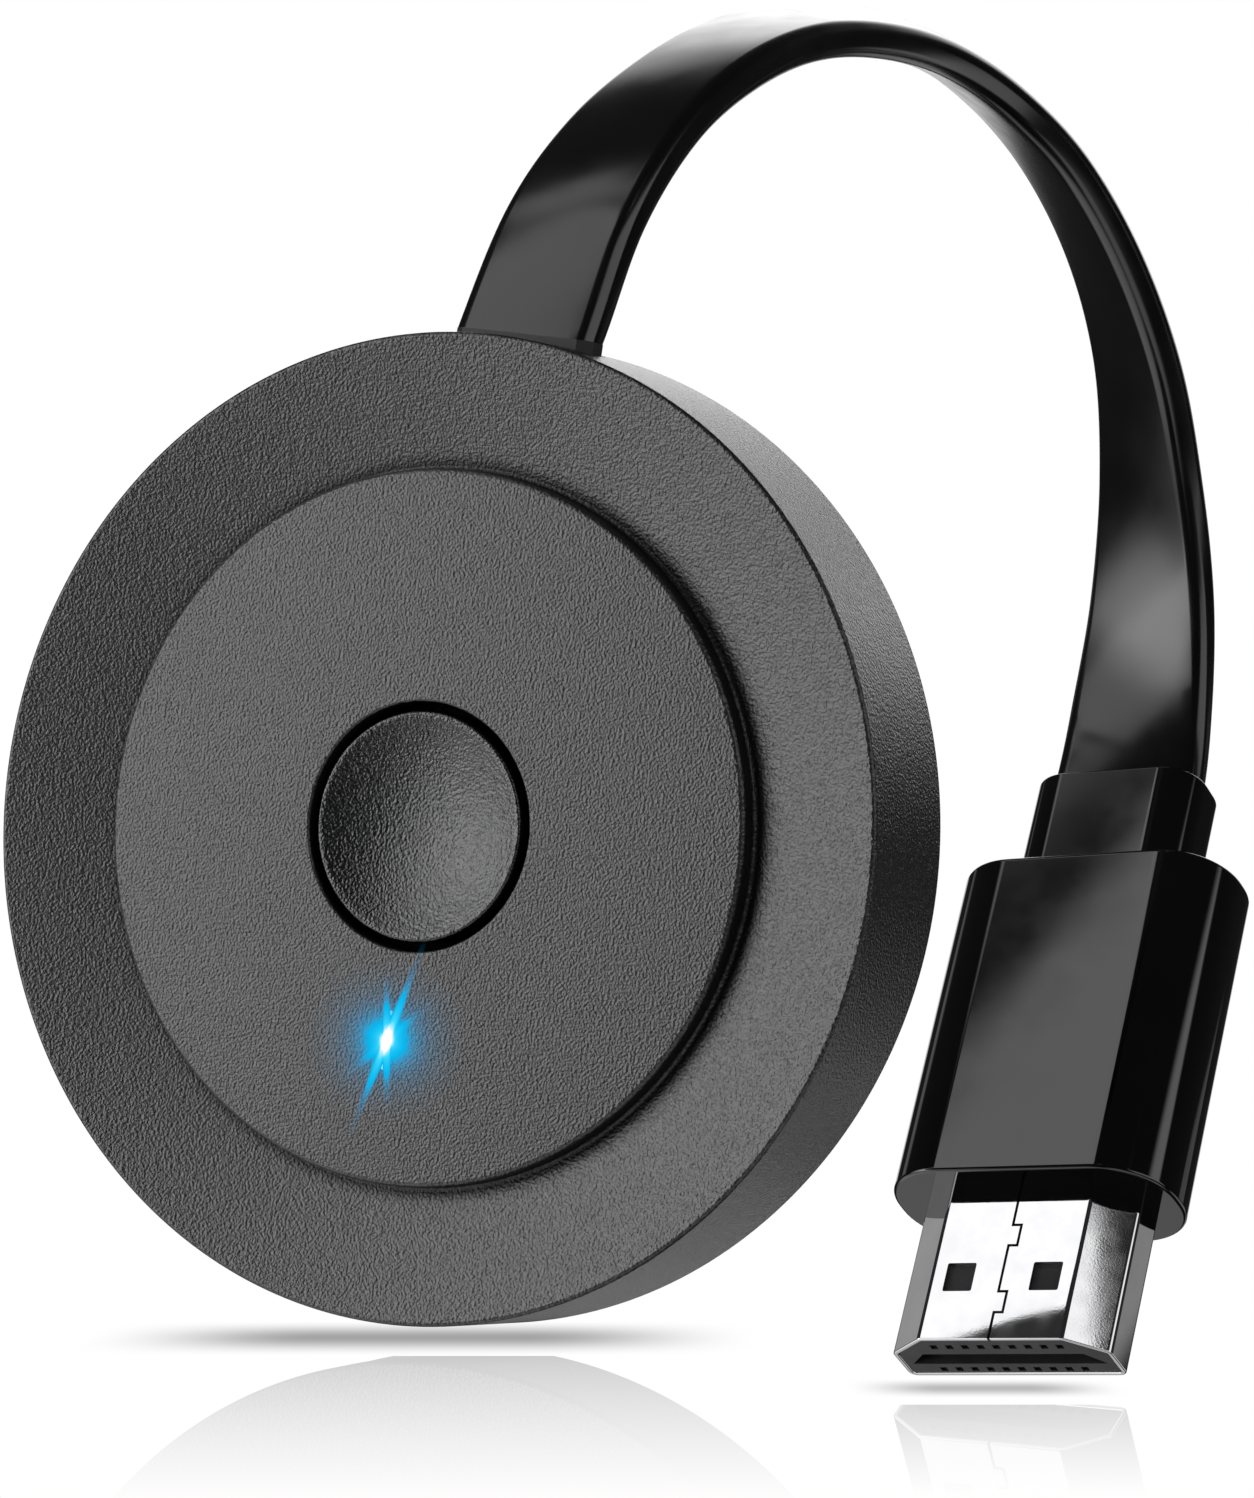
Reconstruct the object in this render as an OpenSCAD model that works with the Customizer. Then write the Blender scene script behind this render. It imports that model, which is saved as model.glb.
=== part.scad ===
// Round wireless display adapter: a dished housing with a centre button and a status
// light, and a short flat cable with a folded metal plug.
// Millimetres. Z is up, Y runs away from the viewer, and the origin is at the plug's mouth.

/* [Housing] */
// Radius of the rim round the front
rim_r = 26; // [25:0.25:29]
// How far the side wall flares out on its way back to the parting line
side_flare = 0.25; // [0.05:0.05:0.6]
// Depth of the front shell, from the rim to the parting line
shell_depth = 7.9; // [7.7:0.1:9]
// Depth of the rear cover behind the parting line
cover_depth = 3.9; // [3.8:0.1:5.5]
// Radius of the flat back
back_r = 20.5; // [19:0.25:22]
// Wall of both mouldings
wall = 1.4; // [1.25:0.05:1.5]
// Radius of the raised disc in the middle of the front
disc_r = 18.8; // [18:0.1:20]
// How far the ring lies below the disc at the disc's foot
ring_drop = 1.27; // [0.9:0.05:1.4]

/* [Button] */
// Radius of the button
button_r = 6.05; // [5:0.05:6.4]
// Gap round the button
button_gap = 0.5; // [0.3:0.05:0.7]
// Depth of the finger dish in the button
button_dish = 0.9; // [0.3:0.05:1]
// How far the button goes in
button_travel = 0.3; // [0.2:0.05:0.35]

/* [Status light] */
// Length of the light slot, which stands upright
light_len = 3.2; // [2.4:0.1:4]
// Width of the light slot
light_w = 0.5; // [0.4:0.05:0.8]
// Clearance between the button's guide and the light pipe's flange
light_clear = 0.5; // [0.2:0.05:1.7]

/* [Circuit board] */
// Thickness of the board
board_t = 1; // [0.8:0.1:1.2]
// Gap between the board's edge and the shell
board_gap = 0.4; // [0.3:0.05:0.5]
// Side of the processor
chip_side = 12; // [10:0.5:13]
// Thickness of the heat spreader
spreader_t = 0.8; // [0.5:0.1:0.9]

/* [Power socket] */
// Width of the power socket's shell
socket_w = 8.94; // [8.4:0.02:9.4]
// Height of the power socket's shell
socket_h = 3.16; // [3:0.02:3.3]
// Length of the power socket
socket_len = 7.3; // [6.8:0.1:8]

/* [Cable] */
// Width of the flat cable where it leaves the housing
cable_w_exit = 8.3; // [7.8:0.1:8.6]
// Width of the flat cable at the plug's collar
cable_w_plug = 9.2; // [8.4:0.1:9.6]
// Thickness of the flat cable
cable_t = 2.4; // [2:0.1:2.6]

/* [Plug] */
// Width of the plug's metal shell
plug_w = 13.9; // [13.4:0.1:14.4]
// Thickness of the plug's metal shell
plug_h = 4.45; // [4.35:0.05:4.6]
// Width of the shell's narrow side
narrow_w = 9.1; // [9:0.1:10]
// Height of the shell's upright side walls
upright_h = 2.75; // [2.6:0.05:2.9]
// Thickness of the shell's sheet metal
sheet = 0.3; // [0.25:0.01:0.32]
// Length of shell that shows
plug_out = 10.05; // [9.5:0.05:11.5]
// Width of the moulded grip
grip_w = 18; // [17.5:0.1:20]
// Thickness of the moulded grip
grip_t = 8.8; // [8.6:0.1:10]
// Length of the moulded grip
grip_len = 22.1; // [21:0.1:25]
// Width of the collar above the grip
collar_w = 11.1; // [11:0.1:12]
// Thickness of the collar above the grip
collar_t = 6; // [5.8:0.1:6.6]
// Length of the collar above the grip
collar_len = 7.1; // [5:0.1:8]

/* [Hidden] */
$fn = 96;
// One overrun serves every cut, one root sinks every boss into its wall
over = 1;
root = 0.2;
// Clearances: still pieces, and pieces that slide
fit = 0.02;
slide_fit = 0.1;
hole_fit = 0.1;

// Housing
edge = 0.2;
foot = 0.2;
inner_r = rim_r - wall;
hole_r = button_r + button_gap;
seat_gap = 0.15;
board_z = ring_drop + wall + seat_gap + socket_h;
board_back = board_z + board_t;
board_r = inner_r - board_gap;
back_z = shell_depth + cover_depth;
floor_z = back_z - wall;
lip_h = shell_depth - board_back;
lip_t = 0.95;
lip_r = inner_r - hole_fit;
lip_in_r = lip_r - lip_t;
bead = 0.2;
groove = 0.3;
snap_share = 0.5;
bead_half = 0.1;
groove_half = 0.18;
bead_w = 8;
shoulder_start = 35;
shoulder_steps = 6;

// Posts that carry the board, with a pin through it
post_r = 1.6;
post_share = 0.84;
post_at = inner_r * post_share * sin(45);
pin_r = 0.8;
pin_out = 0.4;
under_z = ring_drop + wall / 2;

// Button and its guide
flange_over = 0.95;
flange_t = 0.9;
flange_r = hole_r + flange_over;
guide_t = 0.8;
guide_h = 2;
guide_r = flange_r + 3 * slide_fit;
boss_r = 1.7;
dish_steps = 8;

// Push switch behind the button
switch_side = 6;
switch_h = 1.9;
switch_z = board_z - switch_h;
stem_r = 1.6;
stem_out = 0.9;
stem_z = switch_z - stem_out;
cap_wall = 0.5;
head_r = 2.1;
head_t = 0.35;
chamber_r = head_r + slide_fit;
chamber_z = switch_z + cap_wall;
chamber_floor = 0.3;
dome_h = 0.25;
dome_t = 0.08;
dome_r = chamber_r - slide_fit;
dome_z = board_z - chamber_floor;
dome_steps = 5;

// Light pipe and light chip
pipe_flange_w = 4.4;
pipe_flange_h = 1.5;
pipe_flange_t = 0.6;
pipe_w = 2.4;
pipe_h = 1;
pipe_gap = 0.3;
// Distance from the button's centre down to the light, so that its flange clears the guide
light_drop = guide_r + guide_t + light_clear + pipe_flange_w / 2;
light_chip = [1.6, 0.8, 0.6];

// Pieces soldered to the board, as size and place of the middle
chip_t = 1.2;
chip_at = [-3, -1];
pad_t = 0.7;
spreader_r = 14;
memory = [8, 12, 0.9];
memory_gap = 2.5;
memory_at = [chip_at[0] + chip_side / 2 + memory_gap + memory[0] / 2, chip_at[1]];
radio_can = [8.5, 12, 1.6];
radio_edge = 6.25;
radio_low = 2;
radio_at = [radio_edge + radio_can[0] / 2 - board_r, radio_low];
can_sheet = 0.2;
radio_chip = [5, 5, 0.8];
aerial = [2, 9, 0.8];
aerial_edge = 4;
aerial_at = [board_r - aerial_edge - aerial[0] / 2, radio_low];
coil_side = 4;
coil_h = 1.6;
coil_shares = [0.33, 0.5];
coil_at = board_r * coil_shares;
crystal = [3.2, 2.5, 0.7];
crystal_shares = [-0.37, 0.41];
crystal_at = board_r * crystal_shares;
small_part = [0.8, 1.6, 0.8];
small_pitch = 1.6;
small_shares = [-0.08, 0.62];
small_at = board_r * small_shares;
small_count = 6;
rest_r = 1.5;
rest_ring = 10;
rest_count = 3;

// Power socket
mouth_in = 0.5;
socket_sheet = 0.3;
mouth_y = rim_r - mouth_in;
socket_z = board_z - socket_h / 2;
socket_back = mouth_y - socket_len;
socket_block = 1.9;
tongue_w = 6.7;
tongue_t = 0.7;
tongue_in = 1;
pad_w = 0.26;
pad_h = 0.04;
pad_len = 3.6;
pad_pitch = 0.5;
pad_in = 0.3;
pad_count = 12;

// Strain relief where the cable leaves the housing
gland_w = 11.2;
gland_h = 3.1;
gland_len = 6;
nose_out = 0.2;
cheek_t = 0.9;
cheek_len = 5.4;
cable_z = board_z - gland_h / 2;
gland_y = sqrt(inner_r * inner_r - gland_w * gland_w / 4) - fit;
nose_y = rim_r + side_flare + nose_out;
wire_r = 0.4;
wire_len = 3.2;
wire_pitch = 1.6;
wire_count = 6;

// Plug
plug_turn = [-31.2, -11.5, -3.9];
shell_in = 7.9;
corner_r = 0.7;
inner_corner_r = 0.42;
corner_steps = 4;
mould_shift = 0.2;
grip_r = 4.1;
grip_z = plug_out;
grip_top = grip_z + grip_len;
collar_r = 2.4;
collar_top = grip_top + collar_len;
window_w = 1.85;
window_h = 1.85;
window_x = 2.75;
window_z = 4.05;
seam_w = 0.1;
seam_d = 0.12;
seam_x = -0.05;
tab_x = 0.5;
tab_low = [1.72, 3.08];
tab_high = [6.1, 7.45];
insert_in = 0.06;
insert_len = 15.9;
tongue_slot_front = 1.95;
tongue_slot_t = 1.15;
tongue_slot_w_front = 10.2;
tongue_slot_w_back = 12.4;
tongue_slot_len = 7.5;
front_row_y = 1.1;
back_row_y = 3.75;
front_count = 9;
back_count = 10;
contact_pitch = 1;
contact_side = 0.45;
contact_in = 0.9;
nose_from = 2.6;
nose_to = 6.2;
nose_proud = 0.12;
premould_w = 12.6;
premould_t = 3.6;
premould_len = 7;
root_w = 9.4;
root_t = 4.2;
root_neck = 2;
flange_w = 11;
flange_d = 5.4;
flange_len = 1.2;

// Housing's place, and the flat cable's route from it to the collar
puck_at = [-22.2, -37.8, 26.2];
exit_at = [puck_at[0], puck_at[1] + cable_z, puck_at[2] + nose_y];
exit_dir = [0.04, 0.36, 0.93];
route = [
    [-21.9, -30.7, 59.5],
    [-21.7, -26.0, 65.0],
    [-21.4, -20.0, 69.2],
    [-20.9, -13.4, 72.4],
    [-19.9, -6.5, 74.4],
    [-18.4, 0.8, 75.2],
    [-16.3, 7.7, 74.1],
    [-13.7, 13.6, 71.0],
    [-11.2, 18.5, 65.9],
    [-9.3, 22.2, 59.6],
    [-8.1, 24.4, 52.4],
    [-7.1, 25.0, 45.0],
    [-6.2, 23.6, 37.9]
];
// Which way the cable's width points at the exit, at each route point and at the collar
width_dir = [
    [1, 0, 0],
    [0.99, -0.10, 0.02],
    [0.99, -0.12, 0.10],
    [0.99, -0.12, 0.09],
    [0.99, -0.12, 0.01],
    [0.98, -0.14, -0.13],
    [0.93, -0.23, -0.28],
    [0.84, -0.42, -0.34],
    [0.76, -0.59, -0.28],
    [0.73, -0.65, -0.20],
    [0.77, -0.63, -0.11],
    [0.85, -0.53, 0.01],
    [0.94, -0.31, 0.13],
    [0.98, -0.02, 0.15],
    [0.98, 0.16, 0.08]
];
cable_edge = 0.7;
rings_each = 3;

function unit(v) = v / norm(v);

// Places a piece of the housing: X right, Y down the front, Z back into the housing
module in_puck() {
    translate(puck_at) rotate([-90, 0, 0]) children();
}

// Places a piece of the plug: X across, Y from the narrow to the wide side, Z up the plug
module in_plug() {
    rotate(plug_turn) children();
}

// A block standing on z, in the middle of x and y
module block(size, x, y, z) {
    translate([x - size[0] / 2, y - size[1] / 2, z]) cube(size);
}

// A slot with round ends
module slot(w, h) {
    square([w - h, h], center = true);
    for (side = [-1, 1]) translate([side * (w - h) / 2, 0]) circle(h / 2);
}

// A rectangle with round corners
module plate(w, h, r) {
    square([w - 2 * r, h], center = true);
    square([w, h - 2 * r], center = true);
    for (sx = [-1, 1], sy = [-1, 1])
        translate([sx * (w / 2 - r), sy * (h / 2 - r)]) circle(r);
}

// Depth of the ring's surface, and the front shell's profile as radius and depth
function ring_z(r) = ring_drop * (rim_r - edge - r) / (rim_r - edge - disc_r);
function snap_z() = board_back + lip_h * snap_share;
function front_profile() = [
    [hole_r, 0],
    [disc_r - edge, 0],
    [disc_r, edge],
    [disc_r, ring_z(disc_r) - foot],
    [disc_r + foot, ring_z(disc_r + foot)],
    [rim_r - edge, 0],
    [rim_r, edge],
    [rim_r + side_flare, shell_depth],
    [inner_r, shell_depth],
    [inner_r, snap_z() + groove_half],
    [inner_r + groove, snap_z() + groove_half],
    [inner_r + groove, snap_z() - groove_half],
    [inner_r, snap_z() - groove_half],
    [inner_r, wall + ring_z(inner_r)],
    [disc_r - wall, wall + ring_z(disc_r)],
    [disc_r - wall, wall],
    [hole_r, wall]
];

module front_shell() {
    color("dimgray") in_puck() difference() {
        union() {
            rotate_extrude() polygon(front_profile());
            translate([0, 0, wall - root]) difference() {
                cylinder(r = guide_r + guide_t, h = guide_h + root);
                translate([0, 0, -over]) cylinder(r = guide_r, h = guide_h + root + 2 * over);
            }
            for (sx = [-1, 1], sy = [-1, 1]) translate([sx * post_at, sy * post_at, under_z]) {
                cylinder(r = post_r, h = board_z - under_z, $fn = 32);
                cylinder(r = pin_r, h = board_back + pin_out - under_z, $fn = 24);
            }
            for (side = [-1, 1])
                block([cheek_t, cheek_len, board_z - under_z],
                    side * (gland_w / 2 + hole_fit + cheek_t / 2), -gland_y + cheek_len / 2, under_z);
        }
        translate([0, light_drop, -over]) rotate(90) linear_extrude(wall + 2 * over)
            slot(light_len, light_w);
        translate([0, -inner_r + over, cable_z]) rotate([90, 0, 0]) linear_extrude(wall + 3 * over)
            plate(cable_w_exit + 2 * hole_fit, cable_t + 2 * hole_fit, cable_edge);
        translate([0, inner_r - over, socket_z]) rotate([-90, 0, 0]) linear_extrude(wall + 3 * over)
            slot(socket_w + 2 * hole_fit, socket_h + 2 * hole_fit);
    }
}

// The cover's shoulder: leaves the parting line at an angle and ends flat on the back
function shoulder(r_from, r_to, z_from, z_to) = [
    for (i = [0:shoulder_steps])
        let (a = shoulder_start + (90 - shoulder_start) * i / shoulder_steps)
        [r_to + (r_from - r_to) * cos(a) / cos(shoulder_start),
            z_from + (z_to - z_from) * (sin(a) - sin(shoulder_start)) / (1 - sin(shoulder_start))]
];
function cover_outside() = shoulder(rim_r + side_flare, back_r, shell_depth, back_z);
function cover_inside() = shoulder(lip_in_r, back_r - wall / 2, shell_depth, floor_z);

module rear_cover() {
    color("dimgray") in_puck() {
        rotate_extrude() polygon(concat(
            [[0, floor_z]],
            [for (i = [shoulder_steps:-1:0]) cover_inside()[i]],
            [[lip_in_r, board_back], [lip_r, board_back], [lip_r, shell_depth]],
            cover_outside(),
            [[0, back_z]]
        ));
        intersection() {
            rotate_extrude() polygon([
                [lip_r - root, snap_z() - bead_half],
                [inner_r + bead, snap_z() - bead_half],
                [inner_r + bead, snap_z() + bead_half],
                [lip_r - root, snap_z() + bead_half]
            ]);
            union() for (turn = [0, 90])
                rotate(45 + turn) block([2 * rim_r, bead_w, back_z], 0, 0, 0);
        }
        for (i = [0:rest_count - 1]) rotate(90 + 360 * i / rest_count)
            translate([rest_ring, 0, spreader_z() + spreader_t])
            cylinder(r = rest_r, h = floor_z + root - spreader_z() - spreader_t, $fn = 32);
    }
}

// Button: a dished cap, a flange that holds it in, and a boss on the switch
function dish_profile() = [
    for (i = [0:dish_steps])
        let (share = i / dish_steps)
        [(button_r - edge) * share, button_dish * (1 - share * share)]
];
module button_cap() {
    color("darkslategray") in_puck() {
        rotate_extrude() polygon(concat(
            dish_profile(),
            [
                [button_r, edge],
                [button_r, wall],
                [flange_r, wall],
                [flange_r, wall + flange_t],
                [boss_r, wall + flange_t],
                [boss_r, stem_z],
                [0, stem_z]
            ]
        ));
    }
}

module switch_body() {
    color("black") in_puck() difference() {
        block([switch_side, switch_side, switch_h], 0, 0, switch_z);
        translate([0, 0, switch_z - over]) cylinder(r = stem_r + slide_fit, h = cap_wall + 2 * over);
        translate([0, 0, chamber_z]) cylinder(r = chamber_r, h = dome_z - chamber_z);
    }
}

module switch_plunger() {
    color("white") in_puck() rotate_extrude() polygon([
        [0, stem_z],
        [stem_r, stem_z],
        [stem_r, chamber_z],
        [head_r, chamber_z],
        [head_r, chamber_z + head_t],
        [0, chamber_z + head_t]
    ]);
}

function dome_line(r, h) = [
    for (i = [0:dome_steps])
        let (share = i / dome_steps)
        [r * share, dome_z - h * (1 - share * share)]
];
module switch_dome() {
    color("silver") in_puck() rotate_extrude() polygon(concat(
        dome_line(dome_r, dome_h),
        [for (i = [dome_steps:-1:0]) dome_line(dome_r - dome_t, dome_h - dome_t)[i]]
    ));
}

module light_pipe() {
    pipe_end = board_z - light_chip[2] - pipe_gap;
    color("deepskyblue") in_puck() translate([0, light_drop, 0]) rotate(90) {
        linear_extrude(wall) slot(light_len - 2 * fit, light_w - 2 * fit);
        block([pipe_flange_w, pipe_flange_h, pipe_flange_t], 0, 0, wall);
        block([pipe_w, pipe_h, pipe_end - wall], 0, 0, wall);
    }
}

module light_chip() {
    color("lightyellow") in_puck() translate([0, light_drop, 0]) rotate(90)
        block(light_chip, 0, 0, board_z - light_chip[2]);
}

module main_board() {
    color("darkgreen") in_puck() difference() {
        translate([0, 0, board_z]) cylinder(r = board_r, h = board_t);
        for (sx = [-1, 1], sy = [-1, 1]) translate([sx * post_at, sy * post_at, board_z - over])
            cylinder(r = pin_r + hole_fit, h = board_t + 2 * over, $fn = 24);
    }
}

module processor() {
    color("black") in_puck() block([chip_side, chip_side, chip_t], chip_at[0], chip_at[1], board_back);
}

module memory_chip() {
    color("black") in_puck() block(memory, memory_at[0], memory_at[1], board_back);
}

module radio_can() {
    color("silver") in_puck() difference() {
        block(radio_can, radio_at[0], radio_at[1], board_z - radio_can[2]);
        block([radio_can[0] - 2 * can_sheet, radio_can[1] - 2 * can_sheet, radio_can[2]],
            radio_at[0], radio_at[1], board_z - radio_can[2] + can_sheet);
    }
}

module radio_chip() {
    color("black") in_puck() block(radio_chip, radio_at[0], radio_at[1], board_z - radio_chip[2]);
}

module aerial() {
    color("khaki") in_puck() block(aerial, aerial_at[0], aerial_at[1], board_z - aerial[2]);
}

module power_coil() {
    color("gray") in_puck() block([coil_side, coil_side, coil_h], coil_at[0], coil_at[1], board_back);
}

module crystal() {
    color("silver") in_puck() block(crystal, crystal_at[0], crystal_at[1], board_back);
}

module small_parts() {
    color("tan") in_puck() for (i = [0:small_count - 1])
        block(small_part, small_at[0] + small_pitch * i - small_pitch * (small_count - 1) / 2,
            small_at[1], board_back);
}

module thermal_pad() {
    color("lightblue") in_puck()
        block([chip_side, chip_side, pad_t], chip_at[0], chip_at[1], board_back + chip_t);
}

function spreader_z() = board_back + chip_t + pad_t;
module heat_spreader() {
    color("silver") in_puck() translate([0, 0, spreader_z()]) cylinder(r = spreader_r, h = spreader_t);
}

// Power socket: a folded stadium shell with a tongue and two rows of pads
module socket_shell() {
    color("silver") in_puck() translate([0, socket_back, socket_z]) rotate([-90, 0, 0]) difference() {
        linear_extrude(socket_len) slot(socket_w, socket_h);
        translate([0, 0, -over]) linear_extrude(socket_len + 2 * over)
            slot(socket_w - 2 * socket_sheet, socket_h - 2 * socket_sheet);
    }
}

module socket_tongue() {
    gone = 2 * (socket_sheet + fit);
    color("black") in_puck() translate([0, socket_back, socket_z]) {
        rotate([-90, 0, 0]) linear_extrude(socket_block) slot(socket_w - gone, socket_h - gone);
        block([tongue_w, socket_len - tongue_in, tongue_t], 0, (socket_len - tongue_in) / 2, -tongue_t / 2);
    }
}

module socket_pads() {
    color("gold") in_puck() for (i = [0:pad_count - 1], side = [0, 1])
        block([pad_w, pad_len, pad_h], pad_pitch * (i - (pad_count - 1) / 2),
            mouth_y - tongue_in - pad_in - pad_len / 2,
            socket_z + (side == 0 ? -tongue_t / 2 - pad_h : tongue_t / 2));
}

// The flat cable's outline across, as width and thickness
function flat_outline(w, t) = [
    [w / 2 - cable_edge, t / 2],
    [cable_edge - w / 2, t / 2],
    [-w / 2, t / 2 - cable_edge],
    [-w / 2, cable_edge - t / 2],
    [cable_edge - w / 2, -t / 2],
    [w / 2 - cable_edge, -t / 2],
    [w / 2, cable_edge - t / 2],
    [w / 2, t / 2 - cable_edge]
];

module cable_gland() {
    color("black") in_puck() {
        translate([0, -gland_y, cable_z]) rotate([90, 0, 0])
            linear_extrude(nose_y - gland_y) polygon(flat_outline(cable_w_exit, cable_t));
        block([gland_w, gland_len, gland_h], 0, -gland_y + gland_len / 2, cable_z - gland_h / 2);
    }
}

module cable_wires() {
    color("peru") in_puck() for (i = [0:wire_count - 1])
        translate([wire_pitch * (i - (wire_count - 1) / 2), -gland_y + gland_len, board_z - wire_r])
        rotate([-90, 0, 0]) cylinder(r = wire_r, h = wire_len, $fn = 16);
}

// The flat cable's route, its direction and the way its width points
plug_axis = [
    sin(-plug_turn[1]) * -cos(plug_turn[0]) * cos(plug_turn[2]) + sin(plug_turn[0]) * sin(plug_turn[2]),
    sin(-plug_turn[1]) * -cos(plug_turn[0]) * sin(plug_turn[2]) - sin(plug_turn[0]) * cos(plug_turn[2]),
    cos(plug_turn[0]) * cos(plug_turn[1])
];
plug_back = [
    cos(plug_turn[0]) * -sin(plug_turn[2]) + sin(plug_turn[0]) * sin(plug_turn[1]) * cos(plug_turn[2]),
    cos(plug_turn[0]) * cos(plug_turn[2]) + sin(plug_turn[0]) * sin(plug_turn[1]) * sin(plug_turn[2]),
    sin(plug_turn[0]) * cos(plug_turn[1])
];
collar_at = plug_axis * collar_top + plug_back * mould_shift;
line = concat([exit_at], route, [collar_at]);
last = len(line) - 1;
first_leg = norm(line[1] - line[0]);
last_leg = norm(line[last] - line[last - 1]);
guide = concat(
    [line[1] - 2 * first_leg * unit(exit_dir)],
    line,
    [line[last - 1] - 2 * last_leg * plug_axis]
);
turns = concat([width_dir[0]], width_dir, [width_dir[last]]);
function curve(p, i, t) = 0.5 * (2 * p[i + 1] + (p[i + 2] - p[i]) * t
    + (2 * p[i] - 5 * p[i + 1] + 4 * p[i + 2] - p[i + 3]) * t * t
    + (3 * p[i + 1] - p[i] - 3 * p[i + 2] + p[i + 3]) * t * t * t);
function slope(p, i, t) = 0.5 * ((p[i + 2] - p[i])
    + 2 * (2 * p[i] - 5 * p[i + 1] + 4 * p[i + 2] - p[i + 3]) * t
    + 3 * (3 * p[i + 1] - p[i] - 3 * p[i + 2] + p[i + 3]) * t * t);
ring_count = last * rings_each;
function leg(k) = min(floor(k / rings_each), last - 1);
function part_way(k) = k / rings_each - leg(k);
function heading(k) = k == 0 ? [0, 0, 1]
    : k == ring_count ? -plug_axis
    : unit(slope(guide, leg(k), part_way(k)));
function square_to(w, t) = unit(w - (w * t) * t);
function ring_points(k) =
    let (
        p = curve(guide, leg(k), part_way(k)),
        t = heading(k),
        w = square_to(curve(turns, leg(k), part_way(k)), t),
        n = cross(t, w),
        wide = cable_w_exit + (cable_w_plug - cable_w_exit) * k / ring_count
    )
    [for (q = flat_outline(wide, cable_t)) p + q[0] * w + q[1] * n];
sides = 8;

module display_cable() {
    color("black") polyhedron(
        points = [for (k = [0:ring_count], q = ring_points(k)) q],
        faces = concat(
            [[for (j = [0:sides - 1]) j]],
            [for (k = [0:ring_count - 1], j = [0:sides - 1], half = [0, 1])
                let (a = k * sides + j, b = k * sides + (j + 1) % sides)
                half == 0 ? [a, a + sides, b + sides] : [a, b + sides, b]],
            [[for (j = [sides - 1:-1:0]) ring_count * sides + j]]
        )
    );
}

// Plug shell's outline, drawn in by t, with the narrow side towards the viewer
chamfer_x = (plug_w - narrow_w) / 2;
chamfer_y = plug_h - upright_h;
chamfer_l = norm([chamfer_x, chamfer_y]);
lean_x = chamfer_y / chamfer_l;
lean_y = chamfer_x / chamfer_l;
function shell_points(t) =
    let (
        x = plug_w / 2 - t,
        low = plug_h / 2 - upright_h + t * (lean_y - lean_x * (1 - lean_x) / lean_y),
        narrow = narrow_w / 2 - t * (lean_x - lean_y * (1 - lean_y) / lean_x),
        y = plug_h / 2 - t
    )
    [[x, y], [-x, y], [-x, low], [-narrow, -y], [narrow, -y], [x, low]];
function rounded(p, r) = [
    for (i = [0:len(p) - 1], k = [0:corner_steps])
        let (
            s = k / corner_steps,
            a = p[i] + r * unit(p[(i + len(p) - 1) % len(p)] - p[i]),
            b = p[i] + r * unit(p[(i + 1) % len(p)] - p[i])
        )
        (1 - s) * (1 - s) * a + 2 * s * (1 - s) * p[i] + s * s * b
];
function outside() = rounded(shell_points(0), corner_r);
function inside() = rounded(shell_points(sheet), inner_corner_r);
shell_len = plug_out + shell_in;
front_y = -plug_h / 2;

// One upright or level run of the jigsaw seam
module seam(x_from, x_to, z_from, z_to) {
    translate([min(x_from, x_to) - seam_w / 2, front_y - over, z_from - seam_w / 2])
        cube([abs(x_to - x_from) + seam_w, over + seam_d, z_to - z_from + seam_w]);
}

module plug_shell() {
    color("silver") in_plug() difference() {
        linear_extrude(shell_len) polygon(outside());
        translate([0, 0, -over]) linear_extrude(shell_len + 2 * over) polygon(inside());
        for (side = [-1, 1]) translate([side * window_x, 0, window_z])
            cube([window_w, plug_h + 2 * over, window_h], center = true);
        seam(seam_x, seam_x, -over, tab_low[0]);
        seam(seam_x, tab_x, tab_low[0], tab_low[0]);
        seam(tab_x, tab_x, tab_low[0], tab_low[1]);
        seam(seam_x, tab_x, tab_low[1], tab_low[1]);
        seam(seam_x, seam_x, tab_low[1], tab_high[0]);
        seam(seam_x, tab_x, tab_high[0], tab_high[0]);
        seam(tab_x, tab_x, tab_high[0], tab_high[1]);
        seam(seam_x, tab_x, tab_high[1], tab_high[1]);
        seam(seam_x, seam_x, tab_high[1], plug_out);
    }
}

slot_front = front_y + tongue_slot_front;
slot_back = slot_front + tongue_slot_t;
tail_top = shell_len;

// The channels and the open windows of one row of contacts, or the contacts themselves
module contact_row(count, y, edge_y, from, nose) {
    for (i = [0:count - 1]) {
        x = contact_pitch * (i - (count - 1) / 2);
        block([contact_side, contact_side, tail_top - from], x, y, from);
        block([contact_side, abs(edge_y + nose - y), nose_to - nose_from],
            x, (y + edge_y + nose) / 2, nose_from);
    }
}

module plug_insert() {
    color("black") in_plug() difference() {
        translate([0, 0, insert_in]) linear_extrude(insert_len) polygon(inside());
        translate([0, 0, insert_in - over]) linear_extrude(tongue_slot_len + over) polygon([
            [-tongue_slot_w_front / 2, slot_front],
            [tongue_slot_w_front / 2, slot_front],
            [tongue_slot_w_back / 2, slot_back],
            [-tongue_slot_w_back / 2, slot_back]
        ]);
        contact_row(front_count, front_y + front_row_y, slot_front, insert_in - over, nose_proud);
        contact_row(back_count, front_y + back_row_y, slot_back, insert_in - over, -nose_proud);
    }
}

module front_contacts() {
    color("gold") in_plug()
        contact_row(front_count, front_y + front_row_y, slot_front, insert_in + contact_in, nose_proud);
}

module back_contacts() {
    color("gold") in_plug()
        contact_row(back_count, front_y + back_row_y, slot_back, insert_in + contact_in, -nose_proud);
}

premould_z = tail_top;
module plug_premould() {
    color("white") in_plug() block([premould_w, premould_t, premould_len], 0, 0, premould_z);
}

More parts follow.
